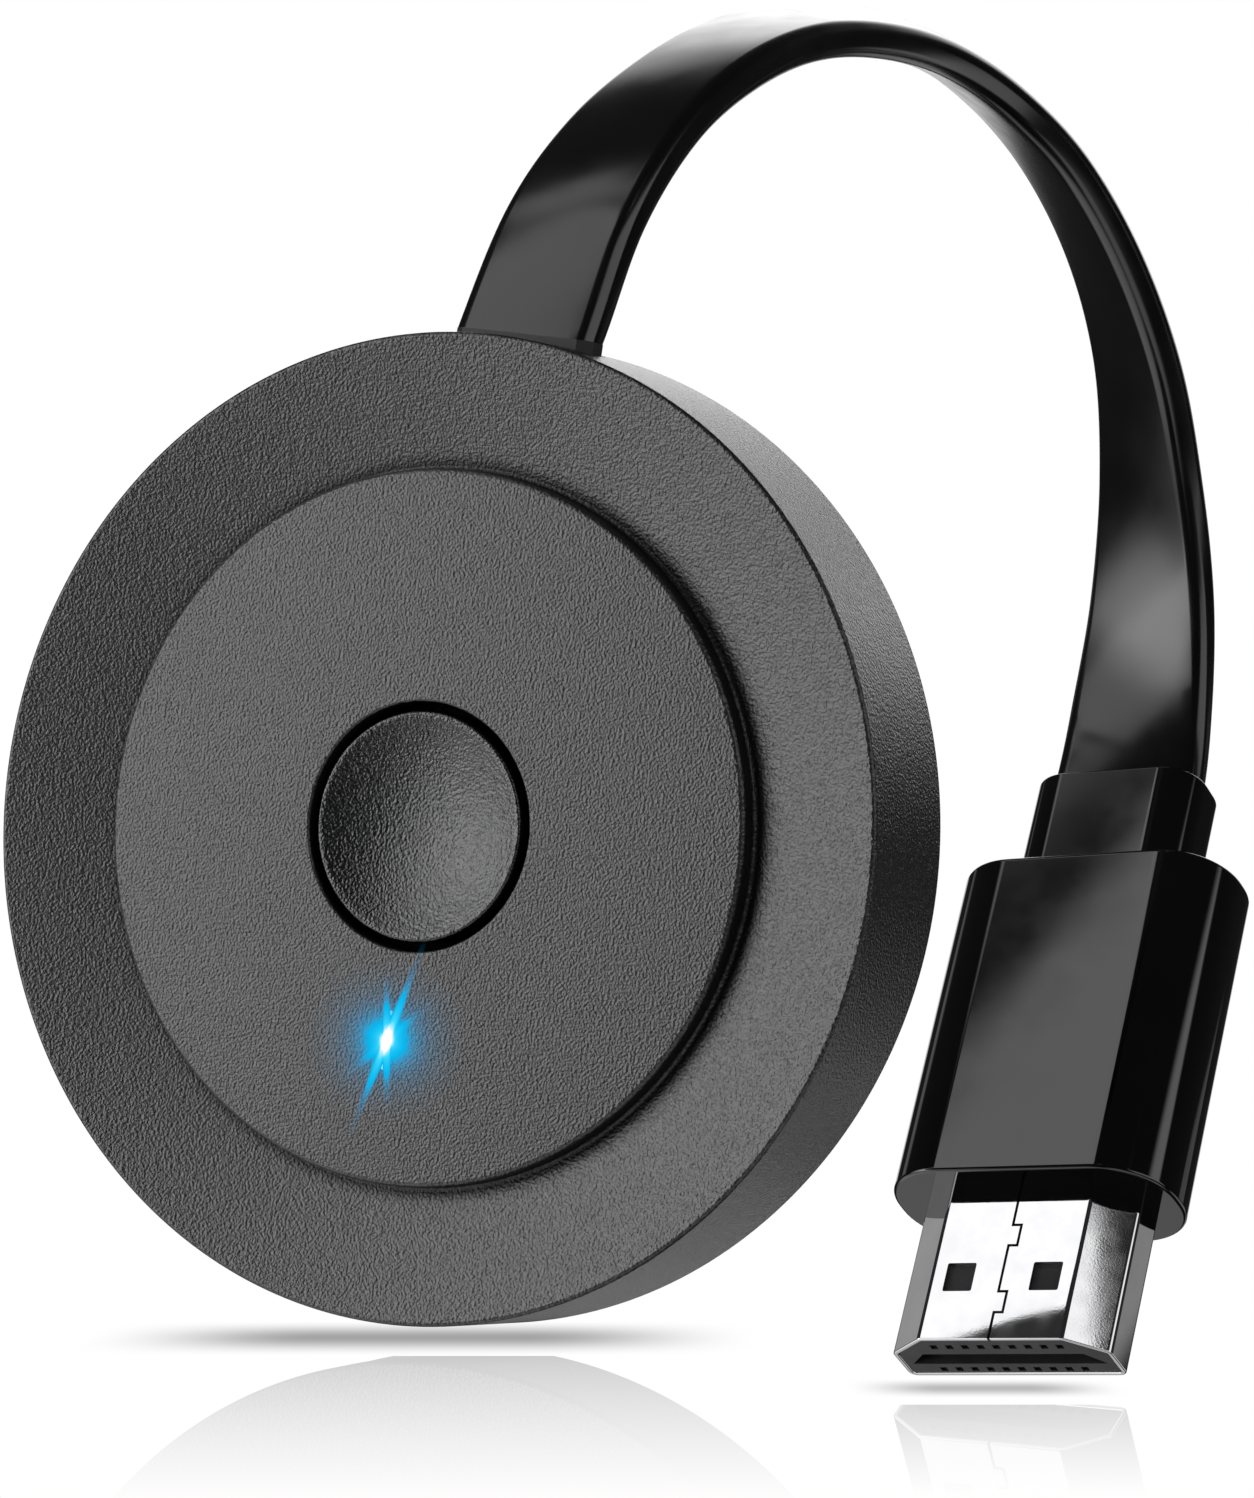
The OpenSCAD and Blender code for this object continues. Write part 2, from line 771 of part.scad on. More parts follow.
// The collar's root: a neck, and a flange that holds it in the grip
module collar_root(extra) {
    block([root_w, root_t, root_neck + extra], 0, mould_shift, grip_top - root_neck);
    block([flange_w, flange_d, flange_len], 0, mould_shift, grip_top - root_neck - flange_len);
}

module plug_grip() {
    color("black") in_plug() difference() {
        translate([0, mould_shift, grip_z]) linear_extrude(grip_len) plate(grip_w, grip_t, grip_r);
        translate([0, 0, grip_z - over]) linear_extrude(shell_len - grip_z + over) polygon(outside());
        block([premould_w, premould_t, premould_len], 0, 0, premould_z);
        collar_root(over);
    }
}

module plug_collar() {
    color("black") in_plug() {
        translate([0, mould_shift, grip_top]) linear_extrude(collar_len) plate(collar_w, collar_t, collar_r);
        collar_root(0);
    }
}

front_shell();
rear_cover();
button_cap();
switch_body();
switch_plunger();
switch_dome();
light_pipe();
light_chip();
main_board();
processor();
memory_chip();
radio_can();
radio_chip();
aerial();
power_coil();
crystal();
small_parts();
thermal_pad();
heat_spreader();
socket_shell();
socket_tongue();
socket_pads();
cable_gland();
cable_wires();
display_cable();
plug_collar();
plug_grip();
plug_premould();
plug_shell();
plug_insert();
front_contacts();
back_contacts();
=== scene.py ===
import math

import bmesh
import bpy
from mathutils import Matrix, Vector


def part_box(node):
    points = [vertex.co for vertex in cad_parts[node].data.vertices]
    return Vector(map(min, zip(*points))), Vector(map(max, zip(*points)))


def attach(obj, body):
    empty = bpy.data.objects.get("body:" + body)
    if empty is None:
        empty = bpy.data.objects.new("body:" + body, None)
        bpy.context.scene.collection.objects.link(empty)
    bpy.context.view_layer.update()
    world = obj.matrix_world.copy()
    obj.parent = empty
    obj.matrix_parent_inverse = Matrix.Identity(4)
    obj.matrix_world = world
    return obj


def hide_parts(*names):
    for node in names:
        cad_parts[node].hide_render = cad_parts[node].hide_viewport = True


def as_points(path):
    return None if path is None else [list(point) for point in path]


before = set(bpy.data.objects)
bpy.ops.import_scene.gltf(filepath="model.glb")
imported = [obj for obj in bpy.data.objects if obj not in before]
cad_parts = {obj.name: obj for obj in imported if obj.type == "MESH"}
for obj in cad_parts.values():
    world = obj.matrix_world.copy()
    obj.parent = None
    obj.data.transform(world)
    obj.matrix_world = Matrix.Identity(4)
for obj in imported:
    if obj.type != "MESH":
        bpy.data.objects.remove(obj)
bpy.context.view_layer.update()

# Sizes in millimetres, the same as in the part's source
MM = 0.001
RIM_R = 26
SIDE_FLARE = 0.25
SHELL_DEPTH = 7.9
BACK_DEPTH = 11.8
BACK_R = 20.5
WALL = 1.4
INNER_R = RIM_R - WALL
DISC_R = 18.8
RING_DROP = 1.27
BOARD_Z = 5.98
BOARD_BACK = 6.98
BUTTON_R = 6.05
HOLE_R = 6.55
BUTTON_DISH = 0.9
FLANGE_R = 7.5
FLANGE_T = 0.9
BOSS_R = 1.7
STEM_Z = 3.18
GUIDE_R = 7.8
GUIDE_T = 0.8
GUIDE_H = 2
POST_SHARE = 0.84
POST_AT = INNER_R * POST_SHARE * math.sin(math.radians(45))
POST_R = 1.6
PIN_R = 0.8
PIN_OUT = 0.4
LIGHT_LEN = 3.2
LIGHT_W = 0.5
LIGHT_DROP = 11.3
CABLE_Z = 4.43
CABLE_W_EXIT = 8.3
CABLE_W_PLUG = 9.2
CABLE_T = 2.4
SOCKET_W = 8.94
SOCKET_H = 3.16
SOCKET_Z = 4.4
SOCKET_BACK = 18.2
SOCKET_MOUTH = 25.5
PLUG_W = 13.9
PLUG_H = 4.45
NARROW_W = 9.1
UPRIGHT_H = 2.75
SHEET = 0.3
PLUG_OUT = 10.05
SHELL_LEN = 17.95
GRIP_W = 18
GRIP_T = 8.8
GRIP_R = 4.1
GRIP_TOP = 32.15
COLLAR_W = 11.1
COLLAR_T = 6
COLLAR_R = 2.4
COLLAR_TOP = 39.25
MOULD_SHIFT = 0.2

# Places: the housing's middle, and the plug's turn about its open end
PUCK_AT = Vector((-22.2, -37.8, 26.2))
PLUG_TURN = (
    Matrix.Rotation(math.radians(-3.9), 3, "Z")
    @ Matrix.Rotation(math.radians(-11.5), 3, "Y")
    @ Matrix.Rotation(math.radians(-31.2), 3, "X")
)

# Sides of everything turned, and steps of a rounded corner
ROUND_SIDES = 256
CORNER_STEPS = 6
# A radius that counts as none, and how far a cutter reaches past what it cuts
ON_AXIS = 1e-6
OVER = 1


def in_puck(x, down, depth):
    """A point of the housing's drawing, in millimetres, as a point of the frame in metres."""
    return (PUCK_AT + Vector((x, depth, -down))) * MM


def in_plug(x, y, z):
    """A point of the plug's drawing, in millimetres, as a point of the frame in metres."""
    return (PLUG_TURN @ Vector((x, y, z))) * MM


# Camera: the photograph's viewing angle
CAMERA_AT = Vector((94.11, -247.60, 34.82)) * MM
CAMERA_LOOKS = Vector((-0.44702, 0.89443, -0.01267))
CAMERA_UP = Vector((-0.13515, -0.05353, 0.98938))
SENSOR_WIDTH = 36
FOCAL_LENGTH = 131.77
CAMERA_SEES = (0.01, 20)


def make_camera():
    data = bpy.data.cameras.new("camera")
    data.sensor_fit = "HORIZONTAL"
    data.sensor_width = SENSOR_WIDTH
    data.lens = FOCAL_LENGTH
    data.clip_start, data.clip_end = CAMERA_SEES
    camera = bpy.data.objects.new("camera", data)
    bpy.context.collection.objects.link(camera)
    right = CAMERA_LOOKS.cross(CAMERA_UP).normalized()
    turn = Matrix((right, CAMERA_UP, -CAMERA_LOOKS)).transposed().to_4x4()
    camera.matrix_world = Matrix.Translation(CAMERA_AT) @ turn
    bpy.context.scene.camera = camera


# Outlines and meshes


def rounded(corners, steps=CORNER_STEPS):
    """A closed outline whose corners, given as x, y and radius, are rounded off."""
    line = []
    for i, (x, y, radius) in enumerate(corners):
        corner = Vector((x, y))
        if not radius:
            line.append(corner)
            continue
        before = (Vector(corners[i - 1][:2]) - corner).normalized()
        after = (Vector(corners[(i + 1) % len(corners)][:2]) - corner).normalized()
        half = before.angle(after) / 2
        middle = corner + (before + after).normalized() * radius / math.sin(half)
        start = (corner + before * radius / math.tan(half) - middle).normalized()
        end = (corner + after * radius / math.tan(half) - middle).normalized()
        for k in range(steps + 1):
            line.append(middle + start.slerp(end, k / steps).normalized() * radius)
    return line


def plate(width, height, radius, steps=CORNER_STEPS):
    """A rectangle with round corners."""
    x, y = width / 2, height / 2
    return rounded([(x, y, radius), (-x, y, radius), (-x, -y, radius), (x, -y, radius)], steps)


def quarter(radius, steps):
    """A rounded edge, as steps in from one face and on from the other."""
    turns = [math.pi / 2 * k / steps for k in range(steps + 1)]
    return [(radius * (1 - math.sin(turn)), radius * (1 - math.cos(turn))) for turn in turns]


def column(outline, x, y, low, high):
    """Both ends of a straight bar of that outline, along the housing's axis at x and y."""
    return [[in_puck(x + u, y + v, depth) for u, v in outline] for depth in (low, high)]


def lathe(profile, closed=True):
    """The housing's turned pieces: a profile of radius and depth, turned about the housing's axis."""
    mesh = bmesh.new()
    turns = [2 * math.pi * k / ROUND_SIDES for k in range(ROUND_SIDES)]
    rings = []
    for radius, depth in profile:
        if radius < ON_AXIS:
            rings.append([mesh.verts.new(in_puck(0, 0, depth))] * ROUND_SIDES)
            continue
        rings.append(
            [mesh.verts.new(in_puck(radius * math.sin(a), radius * math.cos(a), depth)) for a in turns]
        )
    join_rings(mesh, rings, closed)
    return mesh


def join_rings(mesh, rings, closed):
    """Faces between rings of vertices that follow each other."""
    last = len(rings) if closed else len(rings) - 1
    for i in range(last):
        low, high = rings[i], rings[(i + 1) % len(rings)]
        for k in range(len(low)):
            after = (k + 1) % len(low)
            around = [low[k], low[after], high[after], high[k]]
            corners = [v for n, v in enumerate(around) if v not in around[:n]]
            if len(corners) > 2:
                mesh.faces.new(corners)


def loft(mesh, rings, closed=False):
    """A skin over rings of points, capped at both ends unless it closes on itself."""
    rings = [[mesh.verts.new(point) for point in ring] for ring in rings]
    join_rings(mesh, rings, closed)
    if not closed:
        mesh.faces.new(rings[0][::-1])
        mesh.faces.new(rings[-1])


def bar_rings(place, outline, low, high, edge_low, edge_high, steps):
    """Rings for a bar along z, from low to high, with rounded ends. outline(inset) gives its outline."""
    rings = [(inset, low + on) for inset, on in quarter(edge_low, steps)]
    rings += [(inset, high - on) for inset, on in quarter(edge_high, steps)[::-1]]
    return [[place(x, y, z) for x, y in outline(inset)] for inset, z in rings]


def to_object(name, mesh):
    """A mesh in the making as an object, with its faces outwards."""
    bmesh.ops.recalc_face_normals(mesh, faces=mesh.faces)
    data = bpy.data.meshes.new(name)
    mesh.to_mesh(data)
    mesh.free()
    made = bpy.data.objects.new(name, data)
    bpy.context.collection.objects.link(made)
    return made


def baked(made):
    """The object with its modifiers made part of its mesh."""
    bpy.context.view_layer.update()
    seen = made.evaluated_get(bpy.context.evaluated_depsgraph_get())
    data = bpy.data.meshes.new_from_object(seen)
    made.modifiers.clear()
    made.data = data
    return made


def cut(made, cutters):
    """Cuts holes with other objects, which are then deleted."""
    for tool in cutters:
        hole = made.modifiers.new("hole", "BOOLEAN")
        hole.operation = "DIFFERENCE"
        hole.solver = "EXACT"
        hole.object = tool
    baked(made)
    for tool in cutters:
        bpy.data.objects.remove(tool)
    return made


def cutter(solids):
    """An object that cuts holes: one or more solids, each given as the rings of its skin."""
    mesh = bmesh.new()
    for rings in solids:
        loft(mesh, rings)
    return to_object("cutter", mesh)


def finish(made, material, nodes, body="adapter", sharp=32):
    """Smooth shading with crisp edges, the material, and the piece's place in the frame."""
    made.data.materials.clear()
    made.data.materials.append(material)
    for face in made.data.polygons:
        face.use_smooth = True
    made.data.set_sharp_from_angle(angle=math.radians(sharp))
    even = made.modifiers.new("even shading", "WEIGHTED_NORMAL")
    even.keep_sharp = True
    baked(made)
    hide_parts(*nodes)
    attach(made, body)
    return made


# Materials


def linear(colour):
    """An sRGB hex value as linear red, green, blue and alpha."""
    shares = [int(colour[i : i + 2], 16) / 255 for i in (1, 3, 5)]
    return [c / 12.92 if c <= 0.04045 else ((c + 0.055) / 1.055) ** 2.4 for c in shares] + [1.0]


def add(tree, kind, values=None, **settings):
    """Adds a node. Each value goes into the socket of that name, or is linked to it if it is a socket."""
    made = tree.nodes.new(kind)
    for name, value in settings.items():
        setattr(made, name, value)
    for name, value in (values or {}).items():
        if isinstance(value, bpy.types.NodeSocket):
            tree.links.new(value, made.inputs[name])
        else:
            made.inputs[name].default_value = value
    return made


def empty_tree(owner):
    """The node tree of a material, the world or the scene, emptied."""
    owner.use_nodes = True
    owner.node_tree.nodes.clear()
    return owner.node_tree


def new_material(name, values, bump=None, colour=None, roughness=None, shine=None, glow=None):
    """A material from one main shader. The functions given make its pattern's nodes."""
    material = bpy.data.materials.new(name)
    tree = empty_tree(material)
    place = add(tree, "ShaderNodeTexCoord").outputs["Object"]
    if colour:
        values["Base Color"] = colour(tree, place)
    if roughness:
        values["Roughness"] = roughness(tree, place)
    if shine:
        values["Specular IOR Level"] = shine(tree)
    if bump:
        values["Normal"] = bump(tree, place)
    if glow:
        values |= glow(tree, place)
    shader = add(tree, "ShaderNodeBsdfPrincipled", values)
    add(tree, "ShaderNodeOutputMaterial", {"Surface": shader.outputs["BSDF"]})
    return material


def noise(tree, place, size, detail, harshness=0.5):
    """Noise whose largest grains have that size in millimetres."""
    values = {"Vector": place, "Scale": 1 / (size * MM), "Detail": detail, "Roughness": harshness}
    return add(tree, "ShaderNodeTexNoise", values).outputs["Fac"]


def raised(tree, height, depth):
    """A surface that goes up and down by that depth in millimetres."""
    values = {"Height": height, "Strength": 1.0, "Distance": depth * MM}
    return add(tree, "ShaderNodeBump", values).outputs["Normal"]


def scaled(tree, value, start, end, low=0.0, high=1.0, kind="LINEAR"):
    """The value, taken from the range start to end into the range low to high."""
    values = {"Value": value, "From Min": start, "From Max": end, "To Min": low, "To Max": high}
    return add(tree, "ShaderNodeMapRange", values, interpolation_type=kind).outputs["Result"]


def calc(tree, operation, *numbers, **settings):
    """A sum done by one node. Each number is plain or a socket."""
    kind = tree.bl_idname.replace("NodeTree", "NodeMath")
    return add(tree, kind, dict(enumerate(numbers)), operation=operation, **settings).outputs["Value"]


def measured(tree, operation, first, second):
    """A number from two vectors."""
    values = {0: first, 1: second}
    return add(tree, "ShaderNodeVectorMath", values, operation=operation).outputs["Value"]


def blend(tree, share, first, second):
    """A colour between two."""
    mix = add(tree, "ShaderNodeMix", {"Factor": share}, data_type="RGBA")
    mix.inputs[6].default_value = linear(first)
    mix.inputs[7].default_value = linear(second)
    return mix.outputs[2]


def fleck(size, depth, detail=2.0):
    """Fine unevenness: noise of that grain size and depth, in millimetres."""
    return lambda tree, place: raised(tree, noise(tree, place, size, detail), depth)


# Where nearly all of the noise lies
NOISE_SPAN = (0.35, 0.65)


def mottled(light, dark, size):
    """A colour that wanders a little between two, over patches of that size in millimetres."""

    def make(tree, place):
        patches = noise(tree, place, size, detail=3.0, harshness=0.55)
        return blend(tree, scaled(tree, patches, *NOISE_SPAN), dark, light)

    return make


def worn(low, high, size):
    """A roughness that wanders between two values, over patches of that size in millimetres."""

    def make(tree, place):
        return scaled(tree, noise(tree, place, size, detail=2.0), *NOISE_SPAN, low, high)

    return make


# A corner's reach in millimetres, how open a point is where shine begins and is whole, and whole shine, for
# the painted shade in gaps and corners
CORNER_REACH = 1.3
OPEN_SPAN = (0.4, 0.95)
WHOLE_SHINE = 0.5


def painted_corner_shade(tree):
    """Painted shade: how much a face shines, less and less where it goes down into a gap or a corner, out
    of the light.
    """
    open_sky = add(tree, "ShaderNodeAmbientOcclusion", {"Distance": CORNER_REACH * MM}, samples=8)
    return scaled(tree, open_sky.outputs["AO"], *OPEN_SPAN, 0.0, WHOLE_SHINE, "SMOOTHSTEP")


# The moulded grain: its pebbles' size and depth in millimetres, and how much finer and lower the pits are
GRAIN = 0.15
GRAIN_DEPTH = 0.055
PITS_FINER = 3
PITS_SHARE = 0.2


def spark_grain(tree, place):
    """A spark-eroded mould's grain: shallow pebbles 0.15 mm across, with finer pits on them."""
    pebbles = noise(tree, place, GRAIN, detail=1.0, harshness=0.4)
    pits = noise(tree, place, GRAIN / PITS_FINER, detail=1.0, harshness=0.4)
    return raised(tree, calc(tree, "MULTIPLY_ADD", pits, PITS_SHARE, pebbles), GRAIN_DEPTH)


# ABS, moulded in a spark-eroded tool: matte charcoal with a leathery grain that breaks up the gloss, and
# painted shade that takes its shine away in gaps and corners
ABS_CHARCOAL = new_material(
    "moulded ABS charcoal grain",
    {"Roughness": 0.3, "IOR": 1.6},
    bump=spark_grain,
    colour=mottled("#19191a", "#151516", 4),
    shine=painted_corner_shade,
)
# The same ABS from the plain inside of the tool, for the cap's dish: smoother between its pebbles, coloured
# darker than the housing as painted shade for the dish, and with painted shade that takes its shine away in
# gaps and corners
ABS_BUTTON_SHADED = new_material(
    "moulded ABS charcoal dish painted shade",
    {"Roughness": 0.2, "IOR": 1.6},
    bump=spark_grain,
    colour=mottled("#101011", "#0d0d0e", 4),
    shine=painted_corner_shade,
)
# Soft PVC, extruded over the wires: glossy, with a long faint waviness from the die
PVC_JACKET = new_material(
    "extruded PVC jacket",
    {"IOR": 1.54},
    bump=fleck(7, 0.02, 1.0),
    colour=mottled("#0c0c0d", "#080809", 9),
    roughness=worn(0.17, 0.22, 3),
)
# PVC, moulded in a polished tool: deep black that mirrors the softboxes
PVC_GRIP = new_material(
    "moulded PVC polished",
    {"IOR": 1.6},
    bump=fleck(6, 0.006, 1.0),
    colour=mottled("#0d0d0e", "#09090a", 8),
    roughness=worn(0.04, 0.06, 3),
)
# Nickel over rolled brass sheet: bright, with the sheet's fine satin grain under the plating
NICKEL = new_material(
    "nickel plate on rolled sheet",
    {"Metallic": 1.0},
    bump=fleck(0.12, 0.0003),
    colour=mottled("#cdcdce", "#c6c6c8", 2),
    roughness=worn(0.03, 0.05, 1.5),
)
# Tinned steel, rolled and stamped: a duller white metal with faint rolling marks
TINNED_STEEL = new_material(
    "stamped tinned steel",
    {"Metallic": 1.0},
    bump=fleck(0.3, 0.002),
    colour=mottled("#b9b9b7", "#adadab", 3),
    roughness=worn(0.25, 0.38, 2),
)
# Aluminium sheet, blanked: soft grey metal that spreads the processor's heat
ALUMINIUM = new_material(
    "blanked aluminium sheet",
    {"Metallic": 1.0},
    bump=fleck(0.4, 0.003),
    colour=mottled("#c6c7c8", "#b8b9ba", 4),
    roughness=worn(0.32, 0.45, 3),
)
# Gold flash over nickel on stamped phosphor bronze: a warm yellow with a satin shine
GOLD_FLASH = new_material(
    "gold flash on phosphor bronze",
    {"Metallic": 1.0},
    bump=fleck(0.1, 0.001),
    colour=mottled("#e3bd6b", "#d6ad57", 1),
    roughness=worn(0.2, 0.3, 0.6),
)
# Liquid crystal polymer, moulded thin: dull black-grey with flow marks
LCP_BLACK = new_material(
    "moulded liquid crystal polymer",
    {"Roughness": 0.5, "IOR": 1.55},
    bump=fleck(0.2, 0.006),
    colour=mottled("#3b3b3d", "#323234", 1.5),
)
# Epoxy, transfer moulded round the chips: charcoal with a fine sandy face
CHIP_EPOXY = new_material(
    "moulded chip epoxy",
    {"Roughness": 0.55, "IOR": 1.55},
    bump=fleck(0.15, 0.006),
    colour=mottled("#1d1d1f", "#171719", 2),
)
# Solder mask on glass-epoxy board: glossy green lacquer that lies a little uneven
SOLDER_MASK = new_material(
    "solder mask on glass epoxy",
    {"Roughness": 0.3, "IOR": 1.5, "Coat Weight": 0.4, "Coat Roughness": 0.1},
    bump=fleck(0.8, 0.01),
    colour=mottled("#1d5a38", "#164a2d", 3),
)
# Fired ceramic: chalky cream blocks with plain faces
CERAMIC = new_material(
    "fired ceramic",
    {"Roughness": 0.5, "IOR": 1.6},
    bump=fleck(0.2, 0.004),
    colour=mottled("#d8cfb8", "#cbc1a8", 1),
)
# Ferrite, pressed and sintered: dark grey and slightly porous
FERRITE = new_material(
    "pressed ferrite",
    {"Roughness": 0.6, "IOR": 1.7},
    bump=fleck(0.25, 0.01),
    colour=mottled("#3b3b3d", "#303032", 1),
)
# Nylon, moulded: off-white with a waxy sheen
NYLON = new_material(
    "moulded natural nylon",
    {"Roughness": 0.4, "IOR": 1.53, "Subsurface Weight": 0.1, "Subsurface Scale": 0.0005},
    bump=fleck(0.5, 0.006),
    colour=mottled("#e4e1d6", "#d9d6ca", 3),
)
# Silicone sheet, filled and calendered: a soft grey-blue pad without gloss
SILICONE = new_material(
    "filled silicone sheet",
    {"Roughness": 0.7, "IOR": 1.41},
    bump=fleck(0.4, 0.01),
    colour=mottled("#7f93a3", "#728697", 2),
)
# Rubber, moulded for strain relief: matte black with a dry surface
RUBBER = new_material(
    "moulded rubber",
    {"Roughness": 0.55, "IOR": 1.52},
    bump=fleck(0.3, 0.01),
    colour=mottled("#161617", "#111112", 3),
)


# The light's glow: brightness, from its core out to its edge, and the distances in millimetres
GLOW = (60.0, 0.9)
GLOW_SPAN = (0.12, 0.45)
TINT_SPAN = (0.1, 0.4)


def chip_glow(tree, place):
    """The light of the chip behind the light pipe, brightest in the pipe's middle."""
    away = measured(tree, "DISTANCE", place, in_puck(0, LIGHT_DROP, 0))
    tint = scaled(tree, away, *(x * MM for x in TINT_SPAN))
    return {
        "Emission Color": blend(tree, tint, "#c8f0ff", "#10b4f2"),
        "Emission Strength": scaled(tree, away, *(x * MM for x in GLOW_SPAN), *GLOW, "SMOOTHSTEP"),
    }


# Acrylic, moulded clear: the light pipe, which the chip lights from behind
LIGHT_ACRYLIC = new_material(
    "moulded clear acrylic lit",
    {"Base Color": linear("#9fdcf5"), "Roughness": 0.1, "IOR": 1.49},
    glow=chip_glow,
)


# The flat cable, from the housing to the plug: each point of its route, as in the part's source, with
# the way that the cable's width lies there
PLUG_AXIS = PLUG_TURN @ Vector((0, 0, 1))
PLUG_BACK = PLUG_TURN @ Vector((0, 1, 0))
EXIT_AT = Vector((-22.2, -33.37, 52.65))
COLLAR_AT = PLUG_AXIS * COLLAR_TOP + PLUG_BACK * MOULD_SHIFT
EXIT_DIR = Vector((0.04, 0.36, 0.93)).normalized()
CABLE_RUN = (
    (EXIT_AT, (1, 0, 0)),
    ((-21.9, -30.7, 59.5), (0.99, -0.10, 0.02)),
    ((-21.7, -26.0, 65.0), (0.99, -0.12, 0.10)),
    ((-21.4, -20.0, 69.2), (0.99, -0.12, 0.09)),
    ((-20.9, -13.4, 72.4), (0.99, -0.12, 0.01)),
    ((-19.9, -6.5, 74.4), (0.98, -0.14, -0.13)),
    ((-18.4, 0.8, 75.2), (0.93, -0.23, -0.28)),
    ((-16.3, 7.7, 74.1), (0.84, -0.42, -0.34)),
    ((-13.7, 13.6, 71.0), (0.76, -0.59, -0.28)),
    ((-11.2, 18.5, 65.9), (0.73, -0.65, -0.20)),
    ((-9.3, 22.2, 59.6), (0.77, -0.63, -0.11)),
    ((-8.1, 24.4, 52.4), (0.85, -0.53, 0.01)),
    ((-7.1, 25.0, 45.0), (0.94, -0.31, 0.13)),
    ((-6.2, 23.6, 37.9), (0.98, -0.02, 0.15)),
    (COLLAR_AT, (0.98, 0.16, 0.08)),
)
ROUTE = [Vector(point) for point, width in CABLE_RUN]
WIDTH_DIRECTIONS = [Vector(width) for point, width in CABLE_RUN]
RINGS_EACH = 12
CABLE_CORNER = 0.85
CABLE_CORNER_STEPS = 8
# How much thinner the broad faces get towards the edges, as a share of the thickness
CABLE_DOME = 0.16
DOME_STEPS = 10


def along(points, i, t):
    """A smooth curve through points, between the two after the i-th."""
    a, b, c, d = points[i : i + 4]
    return 0.5 * (
        2 * b + (c - a) * t + (2 * a - 5 * b + 4 * c - d) * t * t + (3 * b - a - 3 * c + d) * t * t * t
    )


def heading(points, i, t):
    """The same curve's direction."""
    a, b, c, d = points[i : i + 4]
    return 0.5 * ((c - a) + 2 * (2 * a - 5 * b + 4 * c - d) * t + 3 * (3 * b - a - 3 * c + d) * t * t)


def cable_outline(width):
    """The flat cable's outline: round edges, and broad faces that fall off a little from the middle."""
    corners = plate(width, CABLE_T, CABLE_CORNER, CABLE_CORNER_STEPS)
    line = []
    for i, point in enumerate(corners):
        line.append(point)
        after = corners[(i + 1) % len(corners)]
        if (after - point).length > width / 2:
            line += [point.lerp(after, k / DOME_STEPS) for k in range(1, DOME_STEPS)]
    return [(x, y * (1 - CABLE_DOME * (2 * x / width) ** 2)) for x, y in line]


def make_cable():
    """The flat cable, which twists as it arches, and the points that its middle follows."""
    first_leg = (ROUTE[1] - ROUTE[0]).length
    last_leg = (ROUTE[-1] - ROUTE[-2]).length
    before = ROUTE[1] - 2 * first_leg * EXIT_DIR
    after = ROUTE[-2] - 2 * last_leg * PLUG_AXIS
    guide = [before] + ROUTE + [after]
    turns = [WIDTH_DIRECTIONS[0]] + WIDTH_DIRECTIONS + [WIDTH_DIRECTIONS[-1]]
    legs = len(ROUTE) - 1
    count = legs * RINGS_EACH
    rings = []
    path = []
    for k in range(count + 1):
        leg = min(k // RINGS_EACH, legs - 1)
        t = k / RINGS_EACH - leg
        point = along(guide, leg, t)
        ahead = heading(guide, leg, t).normalized()
        straight = max(0, 1 - k / RINGS_EACH)
        ahead = ahead.lerp(Vector((0, 0, 1)), straight * straight)
        late = max(0, 1 - (count - k) / RINGS_EACH)
        ahead = ahead.lerp(-PLUG_AXIS, late * late).normalized()
        across = along(turns, leg, t)
        across = (across - across.dot(ahead) * ahead).normalized()
        out = ahead.cross(across)
        width = CABLE_W_EXIT + (CABLE_W_PLUG - CABLE_W_EXIT) * k / count
        rings.append([(point + x * across + y * out) * MM for x, y in cable_outline(width)])
        path.append(point * MM)
    mesh = bmesh.new()
    loft(mesh, rings)
    return finish(to_object("flat_cable", mesh), PVC_JACKET, ["display_cable"]), path


# The plug


def shell_outline(inset, radius):
    """The plug shell's outline with one narrow side, drawn in by inset."""
    slant_x = (PLUG_W - NARROW_W) / 2
    slant_y = PLUG_H - UPRIGHT_H
    slant = math.hypot(slant_x, slant_y)
    lean_x = slant_y / slant
    lean_y = slant_x / slant
    x = PLUG_W / 2 - inset
    low = PLUG_H / 2 - UPRIGHT_H + inset * (lean_y - lean_x * (1 - lean_x) / lean_y)
    narrow = NARROW_W / 2 - inset * (lean_x - lean_y * (1 - lean_y) / lean_x)
    y = PLUG_H / 2 - inset
    corners = [(x, y), (-x, y), (-x, low), (-narrow, -y), (narrow, -y), (x, low)]
    return rounded([(across, up, radius) for across, up in corners])


# The shell's folds, its rolled mouth, its windows and its seam, with where the seam's tabs lie
FOLD_R = 0.5
FOLD_IN_R = 0.25
MOUTH_EDGE = 0.07
MOUTH_STEPS = 4
WINDOW_SIDE = 1.85
WINDOW_CORNER = 0.12
WINDOW_X = 2.75
WINDOW_Z = 4.05
SEAM_W = 0.17
SEAM_D = 0.35
SEAM_X = -0.05
SEAM_PAST_GRIP = 0.5
TAB_X = 0.5
TAB_LOW = (1.72, 3.08)
TAB_HIGH = (6.1, 7.45)


